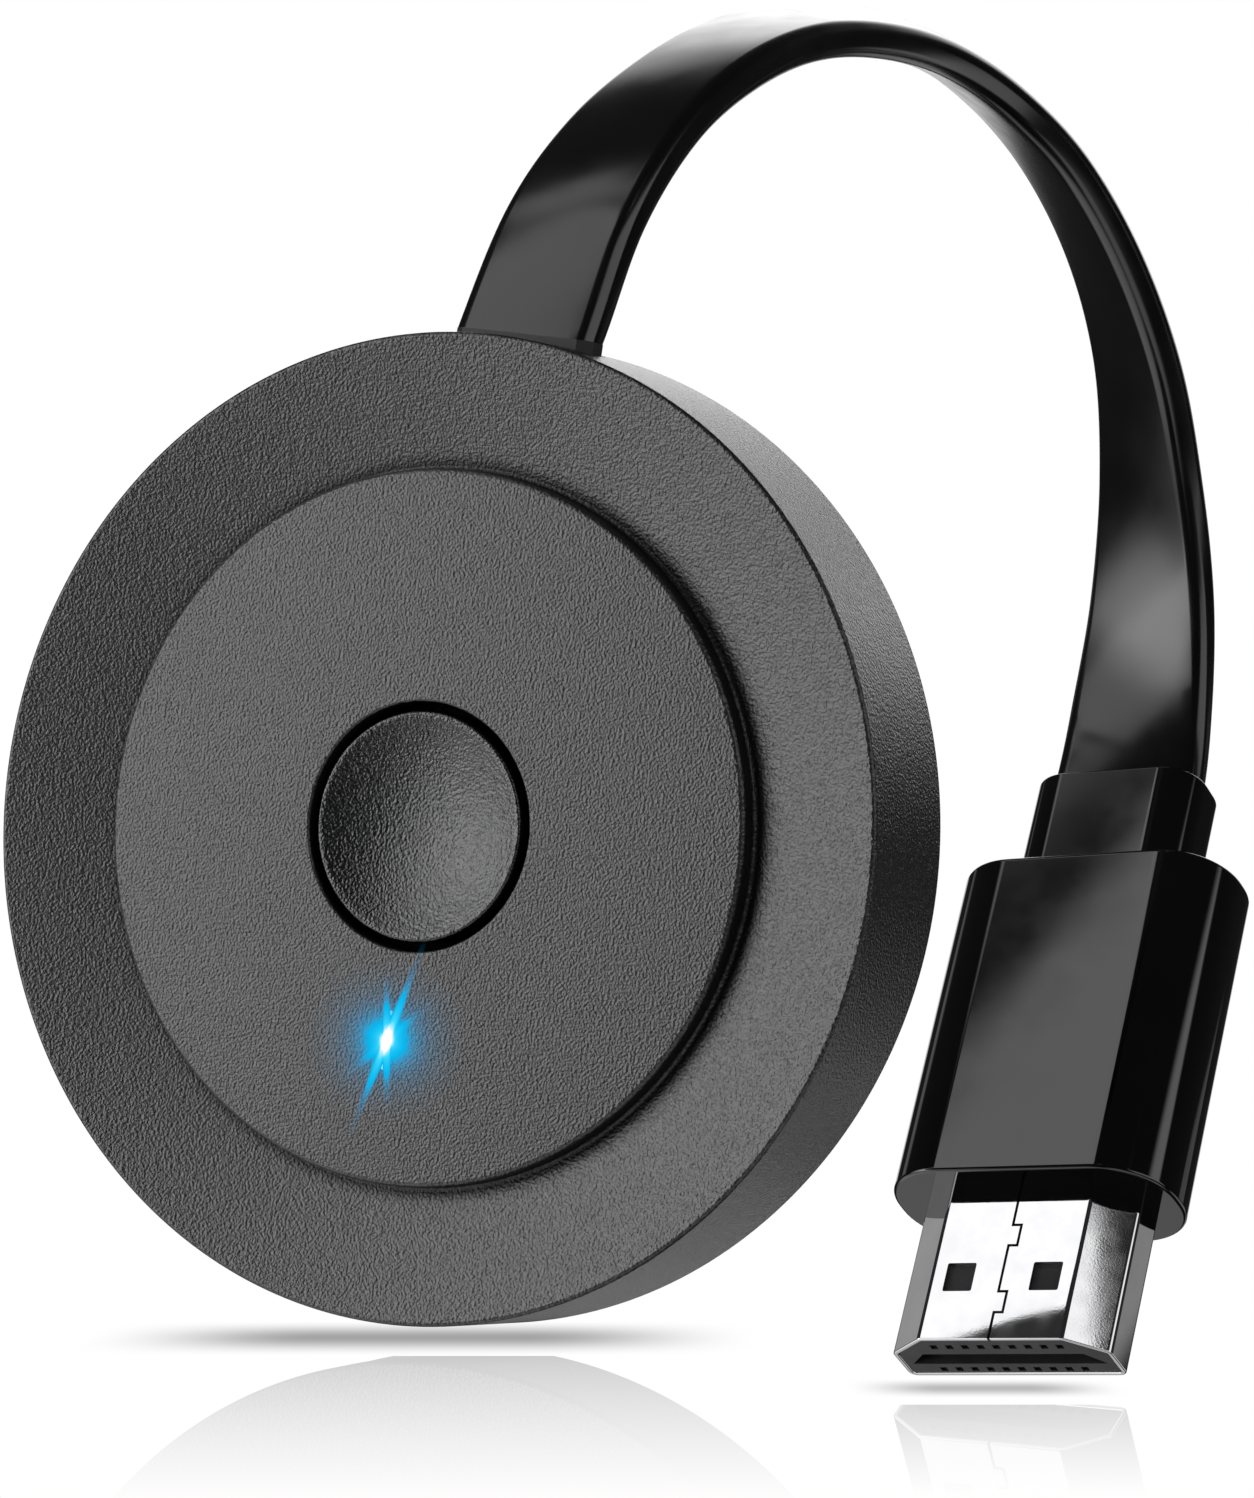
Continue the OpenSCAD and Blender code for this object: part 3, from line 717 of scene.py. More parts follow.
def make_plug_shell():
    """The folded shell: walls with a rolled mouth, latch windows and a jigsaw seam."""
    roll = quarter(MOUTH_EDGE, MOUTH_STEPS)
    rings = [(inset, z, FOLD_R) for inset, z in roll]
    rings += [(0, SHELL_LEN, FOLD_R), (SHEET, SHELL_LEN, FOLD_IN_R)]
    rings += [(SHEET - inset, z, FOLD_IN_R) for inset, z in roll[::-1]]
    rings = [[in_plug(x, y, z) for x, y in shell_outline(inset, r)] for inset, z, r in rings]
    mesh = bmesh.new()
    loft(mesh, rings, closed=True)
    shell = to_object("plug_folded_shell", mesh)
    hole = plate(WINDOW_SIDE, WINDOW_SIDE, WINDOW_CORNER)
    windows = [
        [[in_plug(middle + x, y, WINDOW_Z + z) for x, z in hole] for y in (-PLUG_H, PLUG_H)]
        for middle in (-WINDOW_X, WINDOW_X)
    ]
    sides = []
    for side in (-SEAM_W / 2, SEAM_W / 2):
        line = [(SEAM_X, -OVER)]
        for start, end in (TAB_LOW, TAB_HIGH):
            low, high = start - side, end + side
            line += [(SEAM_X, low), (TAB_X, low), (TAB_X, high), (SEAM_X, high)]
        line.append((SEAM_X, PLUG_OUT + SEAM_PAST_GRIP))
        sides.append([(x + side, z) for x, z in line])
    outline = sides[0] + sides[1][::-1]
    front = -PLUG_H / 2
    seam = [[in_plug(x, y, z) for x, z in outline] for y in (front - OVER, front + SEAM_D)]
    cut(shell, [cutter(windows), cutter([seam])])
    return finish(shell, NICKEL, ["plug_shell"], sharp=25)


def shell_hole():
    """What the shell and the moulding inside take out of the grip."""
    rings = [
        [in_plug(x, y, z) for x, y in shell_outline(0, FOLD_R)] for z in (PLUG_OUT - OVER, SHELL_LEN)
    ]
    return cutter([rings])


# The moulding over the plug: its width, thickness, corner and the corner's steps; then from and to
# along the plug, and the edges of both ends. The collar starts a little way inside the grip
GRIP = (GRIP_W, GRIP_T, GRIP_R, 16, PLUG_OUT, GRIP_TOP, 0.22, 0.3)
COLLAR_IN = 0.5
COLLAR = (COLLAR_W, COLLAR_T, COLLAR_R, 12, GRIP_TOP - COLLAR_IN, COLLAR_TOP, 0.05, 0.16)
MOULD_EDGE_STEPS = 8


def moulded_bar(name, width, thickness, corner, steps, *ends):
    """A moulded bar along the plug with rounded ends."""

    def place(x, y, z):
        return in_plug(x, y + MOULD_SHIFT, z)

    def outline(inset):
        return plate(width - 2 * inset, thickness - 2 * inset, corner - inset, steps)

    mesh = bmesh.new()
    loft(mesh, bar_rings(place, outline, *ends, MOULD_EDGE_STEPS))
    return to_object(name, mesh)


def make_plug_grip():
    grip = cut(moulded_bar("plug_moulded_grip", *GRIP), [shell_hole()])
    return finish(grip, PVC_GRIP, ["plug_grip"], sharp=40)


def make_plug_collar():
    collar = moulded_bar("plug_collar_moulding", *COLLAR)
    return finish(collar, PVC_GRIP, ["plug_collar"])


# Rows of copies, made by geometry nodes


def row_tree():
    """Copies of a piece in a row: how many, how far apart, and their material."""
    tree = bpy.data.node_groups.new("row of copies", "GeometryNodeTree")
    kinds = {"Piece": "Object", "Count": "Int", "Step": "Vector", "Material": "Material"}
    for name, kind in kinds.items():
        tree.interface.new_socket(name, in_out="INPUT", socket_type="NodeSocket" + kind)
    tree.interface.new_socket("Geometry", in_out="OUTPUT", socket_type="NodeSocketGeometry")
    given = add(tree, "NodeGroupInput").outputs
    piece = add(tree, "GeometryNodeObjectInfo", {"Object": given["Piece"]})
    values = {"Count": given["Count"], "Offset": given["Step"]}
    line = add(tree, "GeometryNodeMeshLine", values, mode="OFFSET")
    values = {"Points": line.outputs["Mesh"], "Instance": piece.outputs["Geometry"]}
    copies = add(tree, "GeometryNodeInstanceOnPoints", values)
    real = add(tree, "GeometryNodeRealizeInstances", {"Geometry": copies.outputs["Instances"]})
    values = {"Geometry": real.outputs["Geometry"], "Material": given["Material"]}
    coloured = add(tree, "GeometryNodeSetMaterial", values)
    add(tree, "NodeGroupOutput", {"Geometry": coloured.outputs["Geometry"]})
    return tree


ROW = row_tree()


def row_of(name, piece, count, step, material, node):
    """One object from copies of a piece, which is then deleted."""
    row = to_object(name, bmesh.new())
    copies = row.modifiers.new("row", "NODES")
    copies.node_group = ROW
    given = {"Piece": piece, "Count": count, "Step": step, "Material": material}
    for socket in ROW.interface.items_tree:
        if socket.name in given:
            copies[socket.identifier] = given[socket.name]
    baked(row)
    bpy.data.objects.remove(piece)
    return finish(row, material, [node])


# The plug's contacts, and from where to where their noses bow
CONTACT_W = 0.45
CONTACT_T = 0.22
CONTACT_EDGE = 0.05
CONTACT_PITCH = 1
FRONT_COUNT = 9
BACK_COUNT = 10
CONTACT_FROM = 0.96
NOSE_FROM = 2.6
NOSE_TO = 6.2
NOSE_STEPS = 12


def make_contact(count, y, nose):
    """The first spring contact of a row at y: a stamped strip whose nose bows out as far as y = nose."""
    x = -CONTACT_PITCH * (count - 1) / 2
    bow = [(CONTACT_FROM, 0), (NOSE_FROM, 0)]
    for k in range(1, NOSE_STEPS):
        share = k / NOSE_STEPS
        out = (nose - y) * math.sin(math.pi * share) ** 2
        bow.append((NOSE_FROM + (NOSE_TO - NOSE_FROM) * share, out))
    bow += [(NOSE_TO, 0), (SHELL_LEN, 0)]
    outline = plate(CONTACT_W, CONTACT_T, CONTACT_EDGE, steps=2)
    mesh = bmesh.new()
    loft(mesh, [[in_plug(x + u, y + out + v, z) for u, v in outline] for z, out in bow])
    return to_object("contact", mesh)


# Where the slot's faces and the two rows lie, and how far a nose stands out into the slot
SLOT_FRONT = -0.275
SLOT_BACK = 0.875
FRONT_ROW_Y = -1.125
BACK_ROW_Y = 1.525
NOSE_PROUD = 0.12
# The socket's pads
PAD_W = 0.26
PAD_LEN = 3.6
PAD_H = 0.04
PAD_CORNER = 0.06
PAD_PITCH = 0.5
PAD_MOUTH = 24.2
PAD_COUNT = 12
TONGUE_T = 0.7
# The board's small parts, with the edges at their foot and top
SMALL_W = 0.8
SMALL_CORNER = 0.08
SMALL_EDGES = (0.02, 0.05)
SMALL_COUNT = 6
SMALL_PITCH = 1.6


def make_rows():
    """Everything that repeats: both rows of contacts, the socket's pads and the board's small parts."""
    step = in_plug(CONTACT_PITCH, 0, 0)
    front = make_contact(FRONT_COUNT, FRONT_ROW_Y, SLOT_FRONT + NOSE_PROUD - CONTACT_T / 2)
    row_of("contacts_front_row", front, FRONT_COUNT, step, GOLD_FLASH, "front_contacts")
    back = make_contact(BACK_COUNT, BACK_ROW_Y, SLOT_BACK - NOSE_PROUD + CONTACT_T / 2)
    row_of("contacts_back_row", back, BACK_COUNT, step, GOLD_FLASH, "back_contacts")

    mesh = bmesh.new()
    pad = plate(PAD_W, PAD_LEN, PAD_CORNER, steps=3)
    first = -PAD_PITCH * (PAD_COUNT - 1) / 2
    for low in (SOCKET_Z - TONGUE_T / 2 - PAD_H, SOCKET_Z + TONGUE_T / 2):
        loft(mesh, column(pad, first, PAD_MOUTH - PAD_LEN / 2, low, low + PAD_H))
    pads = to_object("pad", mesh)
    step = Vector((PAD_PITCH, 0, 0)) * MM
    row_of("socket_contact_pads", pads, PAD_COUNT, step, GOLD_FLASH, "socket_pads")

    low, high = [Vector(corner) / MM - PUCK_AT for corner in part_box("small_parts")]

    def place(x, y, z):
        return in_puck(low.x + SMALL_W / 2 + x, -(low.z + high.z) / 2 + y, z)

    def outline(inset):
        return plate(SMALL_W - 2 * inset, high.z - low.z - 2 * inset, SMALL_CORNER, steps=2)

    mesh = bmesh.new()
    loft(mesh, bar_rings(place, outline, low.y, high.y, *SMALL_EDGES, steps=2))
    part = to_object("small part", mesh)
    step = Vector((SMALL_PITCH, 0, 0)) * MM
    row_of("board_small_parts", part, SMALL_COUNT, step, CERAMIC, "small_parts")


# The housing


# Roundings: of the disc, of the step's foot, of the button's hole, and of the rim, front and back
EDGE_R = 0.28
FOOT_R = 0.25
HOLE_EDGE = 0.15
RIM_EDGE = 0.22
SIDE_EDGE = 0.12
# The ring's slope ends this far inside the rim
RING_IN = 0.2
# The groove that the cover's lip snaps into: its middle, its depth and half its width
SNAP_Z = (BOARD_BACK + SHELL_DEPTH) / 2
GROOVE = 0.3
GROOVE_HALF = 0.18


def ring_depth(radius):
    """Depth of the dished ring's surface."""
    outer = RIM_R - RING_IN
    return RING_DROP * (outer - radius) / (outer - DISC_R)


# A half round's radius is this much short of half the width, so that no two points meet
ROUND_SHORT = 0.001
# The room round the cable and the socket in the side wall, and the cable hole's corner
HOLE_GAP = 0.2
CABLE_HOLE_R = 0.7


def stadium(width, height, steps=10):
    """A slot's outline: a rectangle whose ends are half rounds."""
    return plate(width, height, min(width, height) / 2 - ROUND_SHORT, steps)


def make_front_shell():
    """The front moulding: disc, ring, rim and side wall in one profile, with its holes and ribs."""
    profile = rounded(
        [
            (HOLE_R, 0, HOLE_EDGE),
            (DISC_R, 0, EDGE_R),
            (DISC_R, ring_depth(DISC_R), FOOT_R),
            (RIM_R, 0, RIM_EDGE),
            (RIM_R + SIDE_FLARE, SHELL_DEPTH, SIDE_EDGE),
            (INNER_R, SHELL_DEPTH, 0),
            (INNER_R, SNAP_Z + GROOVE_HALF, 0),
            (INNER_R + GROOVE, SNAP_Z + GROOVE_HALF, 0),
            (INNER_R + GROOVE, SNAP_Z - GROOVE_HALF, 0),
            (INNER_R, SNAP_Z - GROOVE_HALF, 0),
            (INNER_R, WALL + ring_depth(INNER_R), 0),
            (DISC_R - WALL, WALL + ring_depth(DISC_R), 0),
            (DISC_R - WALL, WALL, 0),
            (HOLE_R, WALL, 0),
        ]
    )
    shell = to_object("housing_front", lathe(profile))
    holes = [column(stadium(LIGHT_W, LIGHT_LEN), 0, LIGHT_DROP, -OVER, WALL + OVER)]
    for outline, depth, side in (
        (plate(CABLE_W_EXIT + HOLE_GAP, CABLE_T + HOLE_GAP, CABLE_HOLE_R), CABLE_Z, -1),
        (stadium(SOCKET_W + HOLE_GAP, SOCKET_H + HOLE_GAP), SOCKET_Z, 1),
    ):
        ends = side * (INNER_R - OVER), side * (RIM_R + OVER)
        holes.append([[in_puck(x, down, depth + y) for x, y in outline] for down in ends])
    cut(shell, [cutter(holes)])
    mesh = bmesh.new()
    mesh.from_mesh(shell.data)
    add_inner_ribs(mesh)
    mesh.to_mesh(shell.data)
    mesh.free()
    return finish(shell, ABS_CHARCOAL, ["front_shell"], sharp=28)


# A rib's root in the wall, how far a round stays below its radius, and the cheeks
ROOT = 0.1
RING_SHORT = 0.01
CHEEK_T = 0.9
CHEEK_LEN = 5.4
CHEEK_CORNER = 0.1
CHEEK_X = 6.15
CHEEK_Y = -21.23


def add_inner_ribs(mesh):
    """The button's guide, the posts with their pins and the cheeks beside the strain relief."""
    radii = GUIDE_R + GUIDE_T, GUIDE_R
    outer, inner = [plate(2 * r, 2 * r, r - RING_SHORT, steps=16) for r in radii]
    low, high = WALL - ROOT, WALL + GUIDE_H
    guide = ((outer, low), (outer, high), (inner, high), (inner, low))
    loft(mesh, [[in_puck(x, y, depth) for x, y in line] for line, depth in guide], closed=True)
    foot = RING_DROP + WALL / 2
    for side_x in (-1, 1):
        for side_y in (-1, 1):
            for radius, top in ((POST_R, BOARD_Z), (PIN_R, BOARD_BACK + PIN_OUT)):
                post = stadium(2 * radius, 2 * radius, steps=8)
                loft(mesh, column(post, side_x * POST_AT, side_y * POST_AT, foot, top))
        cheek = plate(CHEEK_T, CHEEK_LEN, CHEEK_CORNER, steps=2)
        loft(mesh, column(cheek, side_x * CHEEK_X, CHEEK_Y, foot, BOARD_Z))


# The cover's shoulder: the angle at which it leaves the parting line, and its steps
SHOULDER_START = 35
SHOULDER_STEPS = 20


def shoulder(r_from, r_to, z_from, z_to):
    """The shoulder's profile, which ends flat on the back."""
    line = []
    first = math.radians(SHOULDER_START)
    for i in range(SHOULDER_STEPS + 1):
        turn = math.radians(SHOULDER_START + (90 - SHOULDER_START) * i / SHOULDER_STEPS)
        out = math.cos(turn) / math.cos(first)
        back = (math.sin(turn) - math.sin(first)) / (1 - math.sin(first))
        line.append((r_to + (r_from - r_to) * out, z_from + (z_to - z_from) * back))
    return line


# The cover's lip: its room inside the front moulding, and its thickness
LIP_GAP = 0.1
LIP_T = 0.95
LIP_R = INNER_R - LIP_GAP
LIP_IN_R = LIP_R - LIP_T
FLOOR_Z = BACK_DEPTH - WALL
# The cover stands back from the front moulding's side by this much, and leaves this line open
COVER_IN = 0.05
PART_LINE = 0.08
# The back's bare round recess: its radius and depth, and how its edge falls, as steps in and down
RECESS_R = 17
RECESS_DEEP = 0.12
RECESS_EDGE = ((0.1, 0), (0, 0.04), (-0.06, RECESS_DEEP), (-RECESS_R, RECESS_DEEP))
# The rests that hold the heat spreader
REST_RING = 10
REST_R = 1.5
REST_COUNT = 3
REST_ROOT = 0.2


def make_rear_cover():
    """The back moulding: a lip that snaps in, a rounded shoulder and a flat back."""
    outside = shoulder(RIM_R + SIDE_FLARE - COVER_IN, BACK_R, SHELL_DEPTH + PART_LINE, BACK_DEPTH)
    inside = shoulder(LIP_IN_R, BACK_R - WALL / 2, SHELL_DEPTH, FLOOR_Z)
    profile = (
        [(0, FLOOR_Z)]
        + inside[::-1]
        + [(LIP_IN_R, BOARD_BACK), (LIP_R, BOARD_BACK), (LIP_R, SHELL_DEPTH + PART_LINE)]
        + outside
        + [(RECESS_R + out, BACK_DEPTH - deep) for out, deep in RECESS_EDGE]
    )
    mesh = lathe(profile, closed=False)
    spreader_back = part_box("heat_spreader")[1][1] / MM - PUCK_AT.y
    for i in range(REST_COUNT):
        turn = math.radians(90 + 360 / REST_COUNT * i)
        x, y = REST_RING * math.cos(turn), REST_RING * math.sin(turn)
        rest = stadium(2 * REST_R, 2 * REST_R, steps=8)
        loft(mesh, column(rest, x, y, spreader_back, FLOOR_Z + REST_ROOT))
    return finish(to_object("housing_back", mesh), ABS_CHARCOAL, ["rear_cover"], sharp=28)


# The button: its rim's rounding, the steps of its curves, and a groove that keeps the gap dark
BUTTON_EDGE = 0.16
DISH_STEPS = 24
EDGE_STEPS = 6
GAP_GROOVE = 0.6
GROOVE_OUT = 0.15


def make_button():
    """The button's cap: a finger dish with a fine rim, a flange that holds it in and a boss."""
    top_r = BUTTON_R - BUTTON_EDGE
    shares = [k / DISH_STEPS for k in range(DISH_STEPS)]
    profile = (
        [(top_r * share, BUTTON_DISH * (1 - share**2)) for share in shares]
        + [(BUTTON_R - inset, deep) for inset, deep in quarter(BUTTON_EDGE, EDGE_STEPS)]
        + [
            (BUTTON_R, WALL + GAP_GROOVE),
            (HOLE_R + GROOVE_OUT, WALL + GAP_GROOVE),
            (HOLE_R + GROOVE_OUT, WALL),
            (FLANGE_R, WALL),
            (FLANGE_R, WALL + FLANGE_T),
            (BOSS_R, WALL + FLANGE_T),
            (BOSS_R, STEM_Z),
            (0, STEM_Z),
        ]
    )
    cap = to_object("button_dished_cap", lathe(profile, closed=False))
    return finish(cap, ABS_BUTTON_SHADED, ["button_cap"], body="button", sharp=28)


# The light pipe: its lens's room in the slot, how far back it lies and its edges; then the flange
# behind the wall and the bar, each with its width and height, and their corner and edge
LENS_ROOM = 0.04
LENS_BACK = 0.02
LENS_EDGES = (0.08, 0.01)
PIPE_FLANGE = (1.5, 4.4)
PIPE_FLANGE_T = 0.6
PIPE_BAR = (1, 2.4)
PIPE_CORNER = 0.15
PIPE_EDGE = 0.05


def make_light():
    """The light pipe: a thin lens in the slot, its flange, and the bar that reaches the chip."""

    def place(x, y, z):
        return in_puck(x, LIGHT_DROP + y, z)

    def lens(inset):
        return stadium(LIGHT_W - LENS_ROOM - 2 * inset, LIGHT_LEN - LENS_ROOM - 2 * inset)

    mesh = bmesh.new()
    loft(mesh, bar_rings(place, lens, LENS_BACK, WALL, *LENS_EDGES, steps=3))
    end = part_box("light_pipe")[1][1] / MM - PUCK_AT.y
    step = WALL + PIPE_FLANGE_T
    for (width, height), low, high in ((PIPE_FLANGE, WALL, step), (PIPE_BAR, step, end)):

        def outline(inset, w=width, h=height):
            return plate(w - 2 * inset, h - 2 * inset, PIPE_CORNER, steps=3)

        loft(mesh, bar_rings(place, outline, low, high, PIPE_EDGE, PIPE_EDGE, steps=2))
    return finish(to_object("status_light", mesh), LIGHT_ACRYLIC, ["light_pipe"])


# The socket's rounded mouth, and how far in its edge is in the middle of the rounding
SOCKET_EDGE = 0.1
SOCKET_EDGE_MIDDLE = 0.03


def make_socket():
    """The power socket's seamless shell, with a rounded mouth."""
    walls = [
        (0, SOCKET_BACK),
        (0, SOCKET_MOUTH - SOCKET_EDGE),
        (SOCKET_EDGE_MIDDLE, SOCKET_MOUTH - SOCKET_EDGE_MIDDLE),
        (SOCKET_EDGE, SOCKET_MOUTH),
    ]
    walls += [(SHEET - inset, y) for inset, y in walls[::-1]]
    rings = []
    for inset, y in walls:
        outline = stadium(SOCKET_W - 2 * inset, SOCKET_H - 2 * inset, steps=12)
        rings.append([in_puck(x, y, SOCKET_Z + z) for x, z in outline])
    mesh = bmesh.new()
    loft(mesh, rings, closed=True)
    return finish(to_object("socket_drawn_shell", mesh), NICKEL, ["socket_shell"])


def dress_hidden_nodes():
    """Materials for the CAD solids that keep their own shapes."""
    for material, nodes in (
        (LCP_BLACK, ("plug_insert", "socket_tongue", "switch_body")),
        (CHIP_EPOXY, ("processor", "memory_chip", "radio_chip")),
        (SOLDER_MASK, ("main_board",)),
        (CERAMIC, ("aerial", "light_chip")),
        (FERRITE, ("power_coil",)),
        (TINNED_STEEL, ("radio_can", "crystal", "switch_dome")),
        (ALUMINIUM, ("heat_spreader",)),
        (SILICONE, ("thermal_pad",)),
        (RUBBER, ("cable_gland",)),
        (NYLON, ("switch_plunger", "plug_premould")),
        (PVC_JACKET, ("cable_wires",)),
    ):
        for name in nodes:
            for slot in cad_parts[name].material_slots:
                slot.material = material


# Studio: white for the camera and the floor's sheen, and panels of light all round for all else

LIGHT_AMBIENT = 0.03
# Each panel, in degrees: its middle's azimuth and elevation, half its width and height, and its soft
# edge; then its brightness
LIGHT_PANELS = (
    (-41.4, 16, 15.2, 36.5, 0.3, 1.65),
    (-48, 2, 22, 19, 10, 3.0),
    (-53, 61, 7, 5, 1.5, 1.0),
    (-72, 50, 6, 7, 1.5, 1.3),
    (46.5, 55, 2.2, 1.9, 0.08, 1.5),
    (73, 25, 31, 17.5, 2, 1.4),
    (45, -42, 32, 16, 8, 1.2),
    (-62, -56, 28, 30, 12, 1.4),
    (190, 26, 27, 13, 7, 2.35),
    (180, -28, 22, 8, 6, 0.8),
    (206, -59, 10, 8, 4, 0.6),
    (126, -22, 20, 12, 5, 1.15),
    (-115.5, 6, 4, 6, 2, 0.4),
    (153.5, 3.6, 2.5, 1.6, 0.5, 0.28),
    (203, 2, 18, 7.5, 2, 1.0),
)


def direction(azimuth, elevation):
    """A direction from the object, with azimuth 0 towards the viewer's side of the housing."""
    a, e = math.radians(azimuth), math.radians(elevation)
    return Vector((math.sin(a) * math.cos(e), -math.cos(a) * math.cos(e), math.sin(e)))


def soft_panel(tree, looking, azimuth, elevation, half_width, half_height, soft, strength):
    """A soft-edged rectangle of light, far away in that direction, as a number to add."""
    ahead = direction(azimuth, elevation)
    side = direction(azimuth + 90, 0)
    above = ahead.cross(side)
    facing = measured(tree, "DOT_PRODUCT", looking, ahead)
    share = calc(tree, "GREATER_THAN", facing, 0.0)
    for axis, half in ((side, half_width), (above, half_height)):
        off = measured(tree, "DOT_PRODUCT", looking, axis)
        size = calc(tree, "ABSOLUTE", calc(tree, "ARCTAN2", off, facing))
        start, end = math.radians(half - soft), math.radians(half + soft)
        share = calc(tree, "MULTIPLY", share, scaled(tree, size, start, end, 1.0, 0.0, "SMOOTHSTEP"))
    return calc(tree, "MULTIPLY", share, strength)


def make_studio_light():
    world = bpy.data.worlds.new("studio")
    bpy.context.scene.world = world
    tree = empty_tree(world)
    looking = add(tree, "ShaderNodeTexCoord").outputs["Generated"]
    total = LIGHT_AMBIENT
    for panel in LIGHT_PANELS:
        total = calc(tree, "ADD", soft_panel(tree, looking, *panel), total)
    ray = add(tree, "ShaderNodeLightPath").outputs
    seen = calc(tree, "MAXIMUM", ray["Is Camera Ray"], ray["Is Singular Ray"])
    lit = add(tree, "ShaderNodeBackground", {"Color": (1, 1, 1, 1), "Strength": total})
    white = add(tree, "ShaderNodeBackground", {"Color": (1, 1, 1, 1), "Strength": 1.0})
    either = add(tree, "ShaderNodeMixShader", {"Fac": seen, 1: lit.outputs[0], 2: white.outputs[0]})
    add(tree, "ShaderNodeOutputWorld", {"Surface": either.outputs[0]})


# The floor's axes: it lies level in the photograph, where the object is rolled to the left
FLOOR_TILT = math.radians(9.3)
FLOOR_UP = Vector((-math.sin(FLOOR_TILT), 0, math.cos(FLOOR_TILT)))
FLOOR_SIDE = Vector((0.8824, 0.4478, 0.1445))
FLOOR_AWAY = FLOOR_UP.cross(FLOOR_SIDE)
FLOOR_REACH = (-120, 60)
# Under the housing and under the plug: name, from and to sideways, height; then the painted shadow's middle
# sideways and away, its inner and outer half width, half depth and darkness; then where the painted fade
# of the mirror sheen starts and ends, and how strong it starts
FLOOR_PADS = (
    ("floor_left", -70, 18.5, -26.9, 0, 5.3, 5.3, 18.3, 14, 0.63, -8.3, -80, 0.42),
    ("floor_right", 20, 90, -31.25, 31.7, 26.5, 2.4, 8.3, 7.4, 0.51, 15, -34, 0.32),
)
# The sheen is gone in steep views and whole in low ones: 1 less the sine of the view's angle
SHEEN_SPAN = (0.4, 0.66)


def floor_material(middle, away, inner, outer, depth, dark, sheen_from, sheen_to, sheen):
    """White laminate, polished: a painted soft shadow lies under the object, and before it a real mirror
    sheen whose strength is painted to fade away.
    """
    material = bpy.data.materials.new("polished white laminate")
    tree = empty_tree(material)
    place = add(tree, "ShaderNodeUVMap", uv_map="floor").outputs["UV"]
    parts = add(tree, "ShaderNodeSeparateXYZ", {"Vector": place}).outputs
    # Painted shadow: the floor's glow is dimmed in a soft patch under the object
    shadow = dark
    for axis, centre, start, end in (("X", middle, inner, outer), ("Y", away, 0, depth)):
        size = calc(tree, "ABSOLUTE", calc(tree, "SUBTRACT", parts[axis], centre * MM))
        fall = scaled(tree, size, start * MM, end * MM, 1.0, 0.0, "SMOOTHSTEP")
        shadow = calc(tree, "MULTIPLY", shadow, fall)
    light = calc(tree, "SUBTRACT", 1.0, shadow)
    white = add(tree, "ShaderNodeEmission", {"Strength": light})
    # Painted fade: the mirror's real reflection is faded out by place on the floor
    fade = scaled(tree, parts["Y"], sheen_from * MM, sheen_to * MM, sheen, 0.0)
    begins = calc(tree, "LESS_THAN", parts["Y"], sheen_from * MM)
    facing = add(tree, "ShaderNodeLayerWeight", {"Blend": 0.5}).outputs["Facing"]
    low_view = scaled(tree, facing, *SHEEN_SPAN, kind="SMOOTHSTEP")
    share = calc(tree, "MULTIPLY", calc(tree, "MULTIPLY", fade, begins), low_view)
    mirror = add(tree, "ShaderNodeBsdfGlossy", {"Color": (1, 1, 1, 1), "Roughness": 0.0})
    values = {"Fac": share, 1: white.outputs["Emission"], 2: mirror.outputs["BSDF"]}
    both = add(tree, "ShaderNodeMixShader", values)
    add(tree, "ShaderNodeOutputMaterial", {"Surface": both.outputs["Shader"]})
    return material


def make_floor():
    """The level ground that the painted shadows and the sheen lie on. It lights nothing."""
    near, far = FLOOR_REACH
    for name, left, right, height, *look in FLOOR_PADS:
        mesh = bmesh.new()
        uv = mesh.loops.layers.uv.new("floor")
        places = [(left, near), (right, near), (right, far), (left, far)]
        corners = [
            mesh.verts.new((PUCK_AT + FLOOR_SIDE * x + FLOOR_AWAY * y + FLOOR_UP * height) * MM)
            for x, y in places
        ]
        face = mesh.faces.new(corners)
        for loop, (x, y) in zip(face.loops, places):
            loop[uv].uv = (x * MM, y * MM)
        data = bpy.data.meshes.new("floor")
        mesh.to_mesh(data)
        mesh.free()
        floor = bpy.data.objects.new(name, data)
        bpy.context.collection.objects.link(floor)
        data.materials.append(floor_material(*look))
        floor.visible_diffuse = False
        floor.visible_glossy = False


# Rays of the light's flare: angle in degrees, strength, how many steps they spread in, and fade
FLARE_RAYS = (
    (68.8, 1.0, 4, 0.94),
    (90, 0.8, 3, 0.91),
    (40, 0.16, 3, 0.92),
    (153.4, 0.08, 3, 0.88),
)
# How bright a spot has to be to flare, how strong its rays and its halo are, and the halo's size
FLARE_LIGHT = 12.0
RAYS = 1.8
HALO = 9.0
HALO_SIZE = 0.2
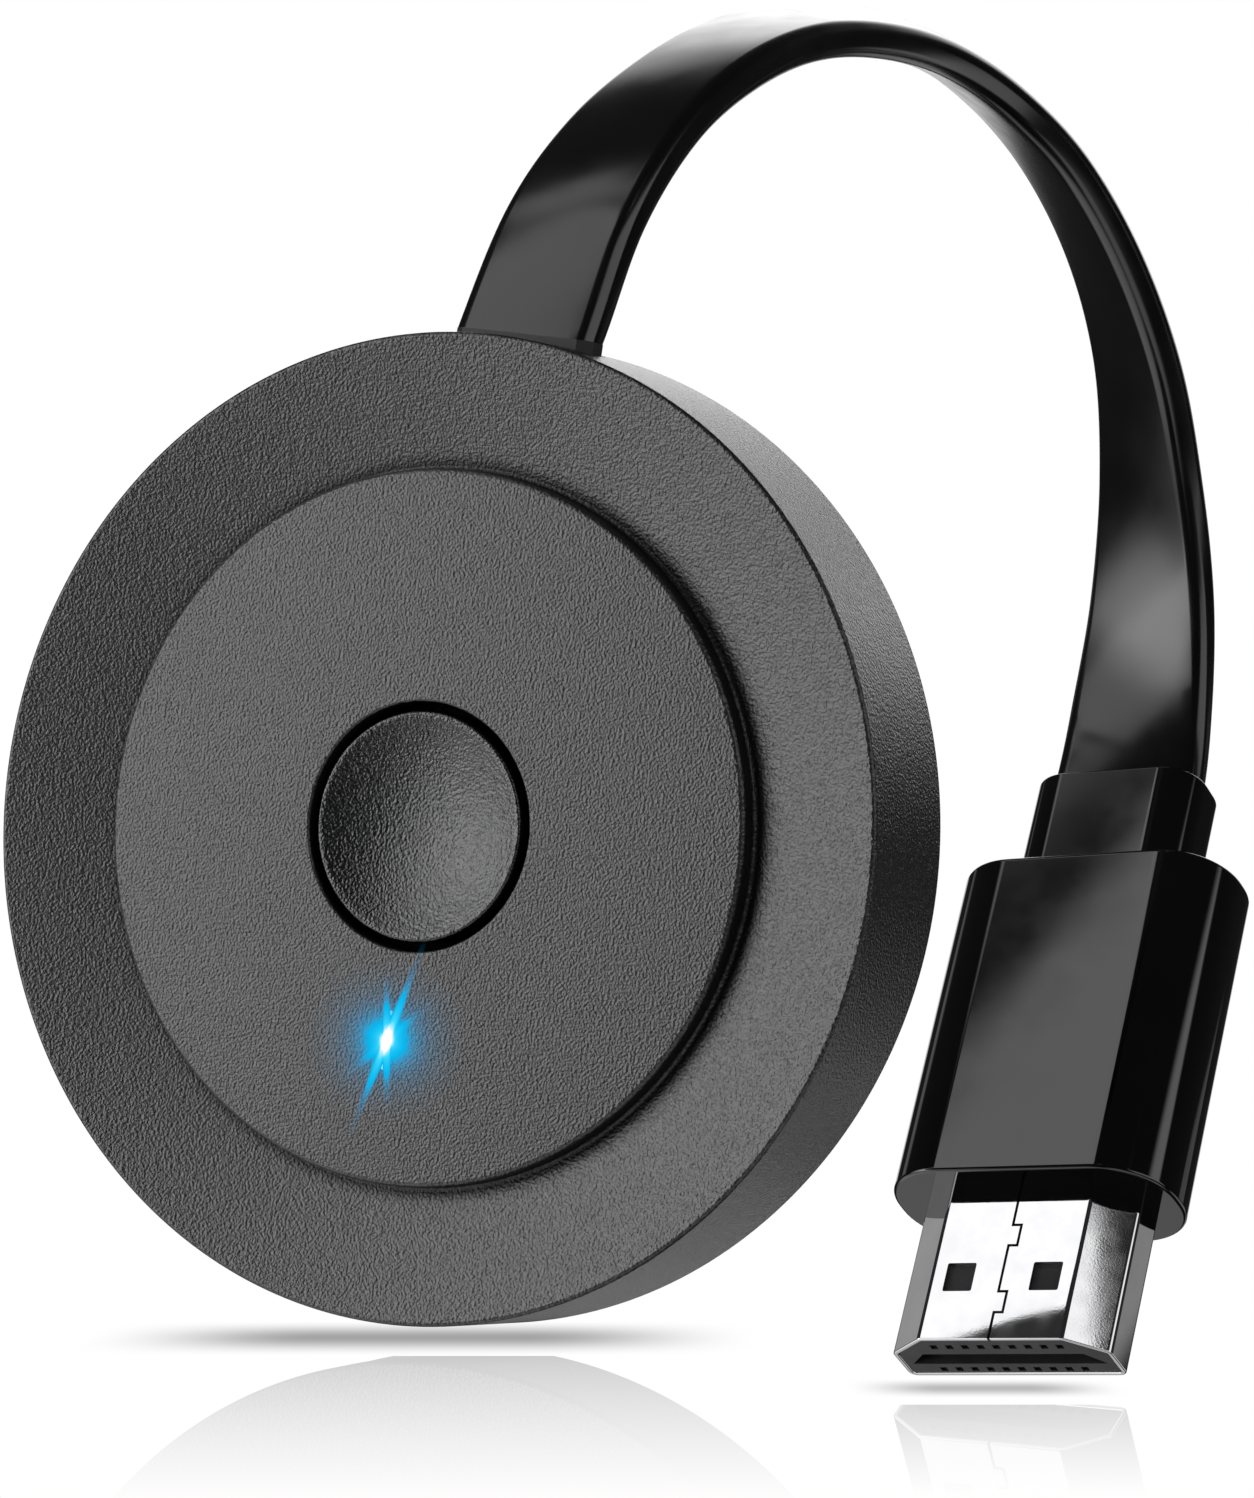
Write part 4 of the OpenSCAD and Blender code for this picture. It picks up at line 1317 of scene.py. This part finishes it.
# The flare's colours, from its faint ends to its middle; the level of that middle, and what is too
# faint to show
FLARE_COLOURS = ((0.0, "#0c9bd4"), (0.1, "#0fbcf2"), (0.4, "#3fdcff"), (1.0, "#ffffff"))
FLARE_MIDDLE = 16.0
FLARE_CUT = 0.04


def make_glare():
    """The lens flare of the status light, made from the render's own brightest spot."""
    tree = empty_tree(bpy.context.scene)
    image = add(tree, "CompositorNodeRLayers").outputs["Image"]
    given = {"Image": image, "Threshold": FLARE_LIGHT}
    flare = 0.0
    for angle, strength, steps, fade in FLARE_RAYS:
        values = {
            "Strength": strength,
            "Streaks": 2,
            "Streaks Angle": math.radians(angle),
            "Iterations": steps,
            "Fade": fade,
            "Color Modulation": 0.0,
        }
        ray = add(tree, "CompositorNodeGlare", given | values, glare_type="STREAKS", quality="HIGH")
        flare = calc(tree, "MULTIPLY_ADD", ray.outputs["Glare"], RAYS, flare)
    values = given | {"Strength": 1.0, "Size": HALO_SIZE}
    halo = add(tree, "CompositorNodeGlare", values, glare_type="BLOOM", quality="HIGH")
    flare = calc(tree, "MULTIPLY_ADD", halo.outputs["Glare"], HALO, flare)
    level = calc(tree, "DIVIDE", flare, FLARE_MIDDLE)
    colours = add(tree, "CompositorNodeValToRGB", {"Fac": level})
    ramp = colours.color_ramp.elements
    while len(ramp) < len(FLARE_COLOURS):
        ramp.new(1.0)
    for element, (position, colour) in zip(ramp, FLARE_COLOURS):
        element.position = position
        element.color = linear(colour)
    share = calc(tree, "SUBTRACT", flare, FLARE_CUT, use_clamp=True)
    values = {"Fac": share, 1: image, 2: colours.outputs["Image"]}
    seen = add(tree, "CompositorNodeMixRGB", values).outputs["Image"]
    add(tree, "CompositorNodeComposite", {"Image": seen})


view = bpy.context.scene.view_settings
view.view_transform = "Standard"
view.look = "None"

make_camera()
cable, cable_path = make_cable()
collar = make_plug_collar()
grip = make_plug_grip()
plug_shell = make_plug_shell()
make_rows()
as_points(cable_path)
make_front_shell()
make_rear_cover()
make_button()
make_light()
make_socket()
dress_hidden_nodes()
make_studio_light()
make_floor()
make_glare()
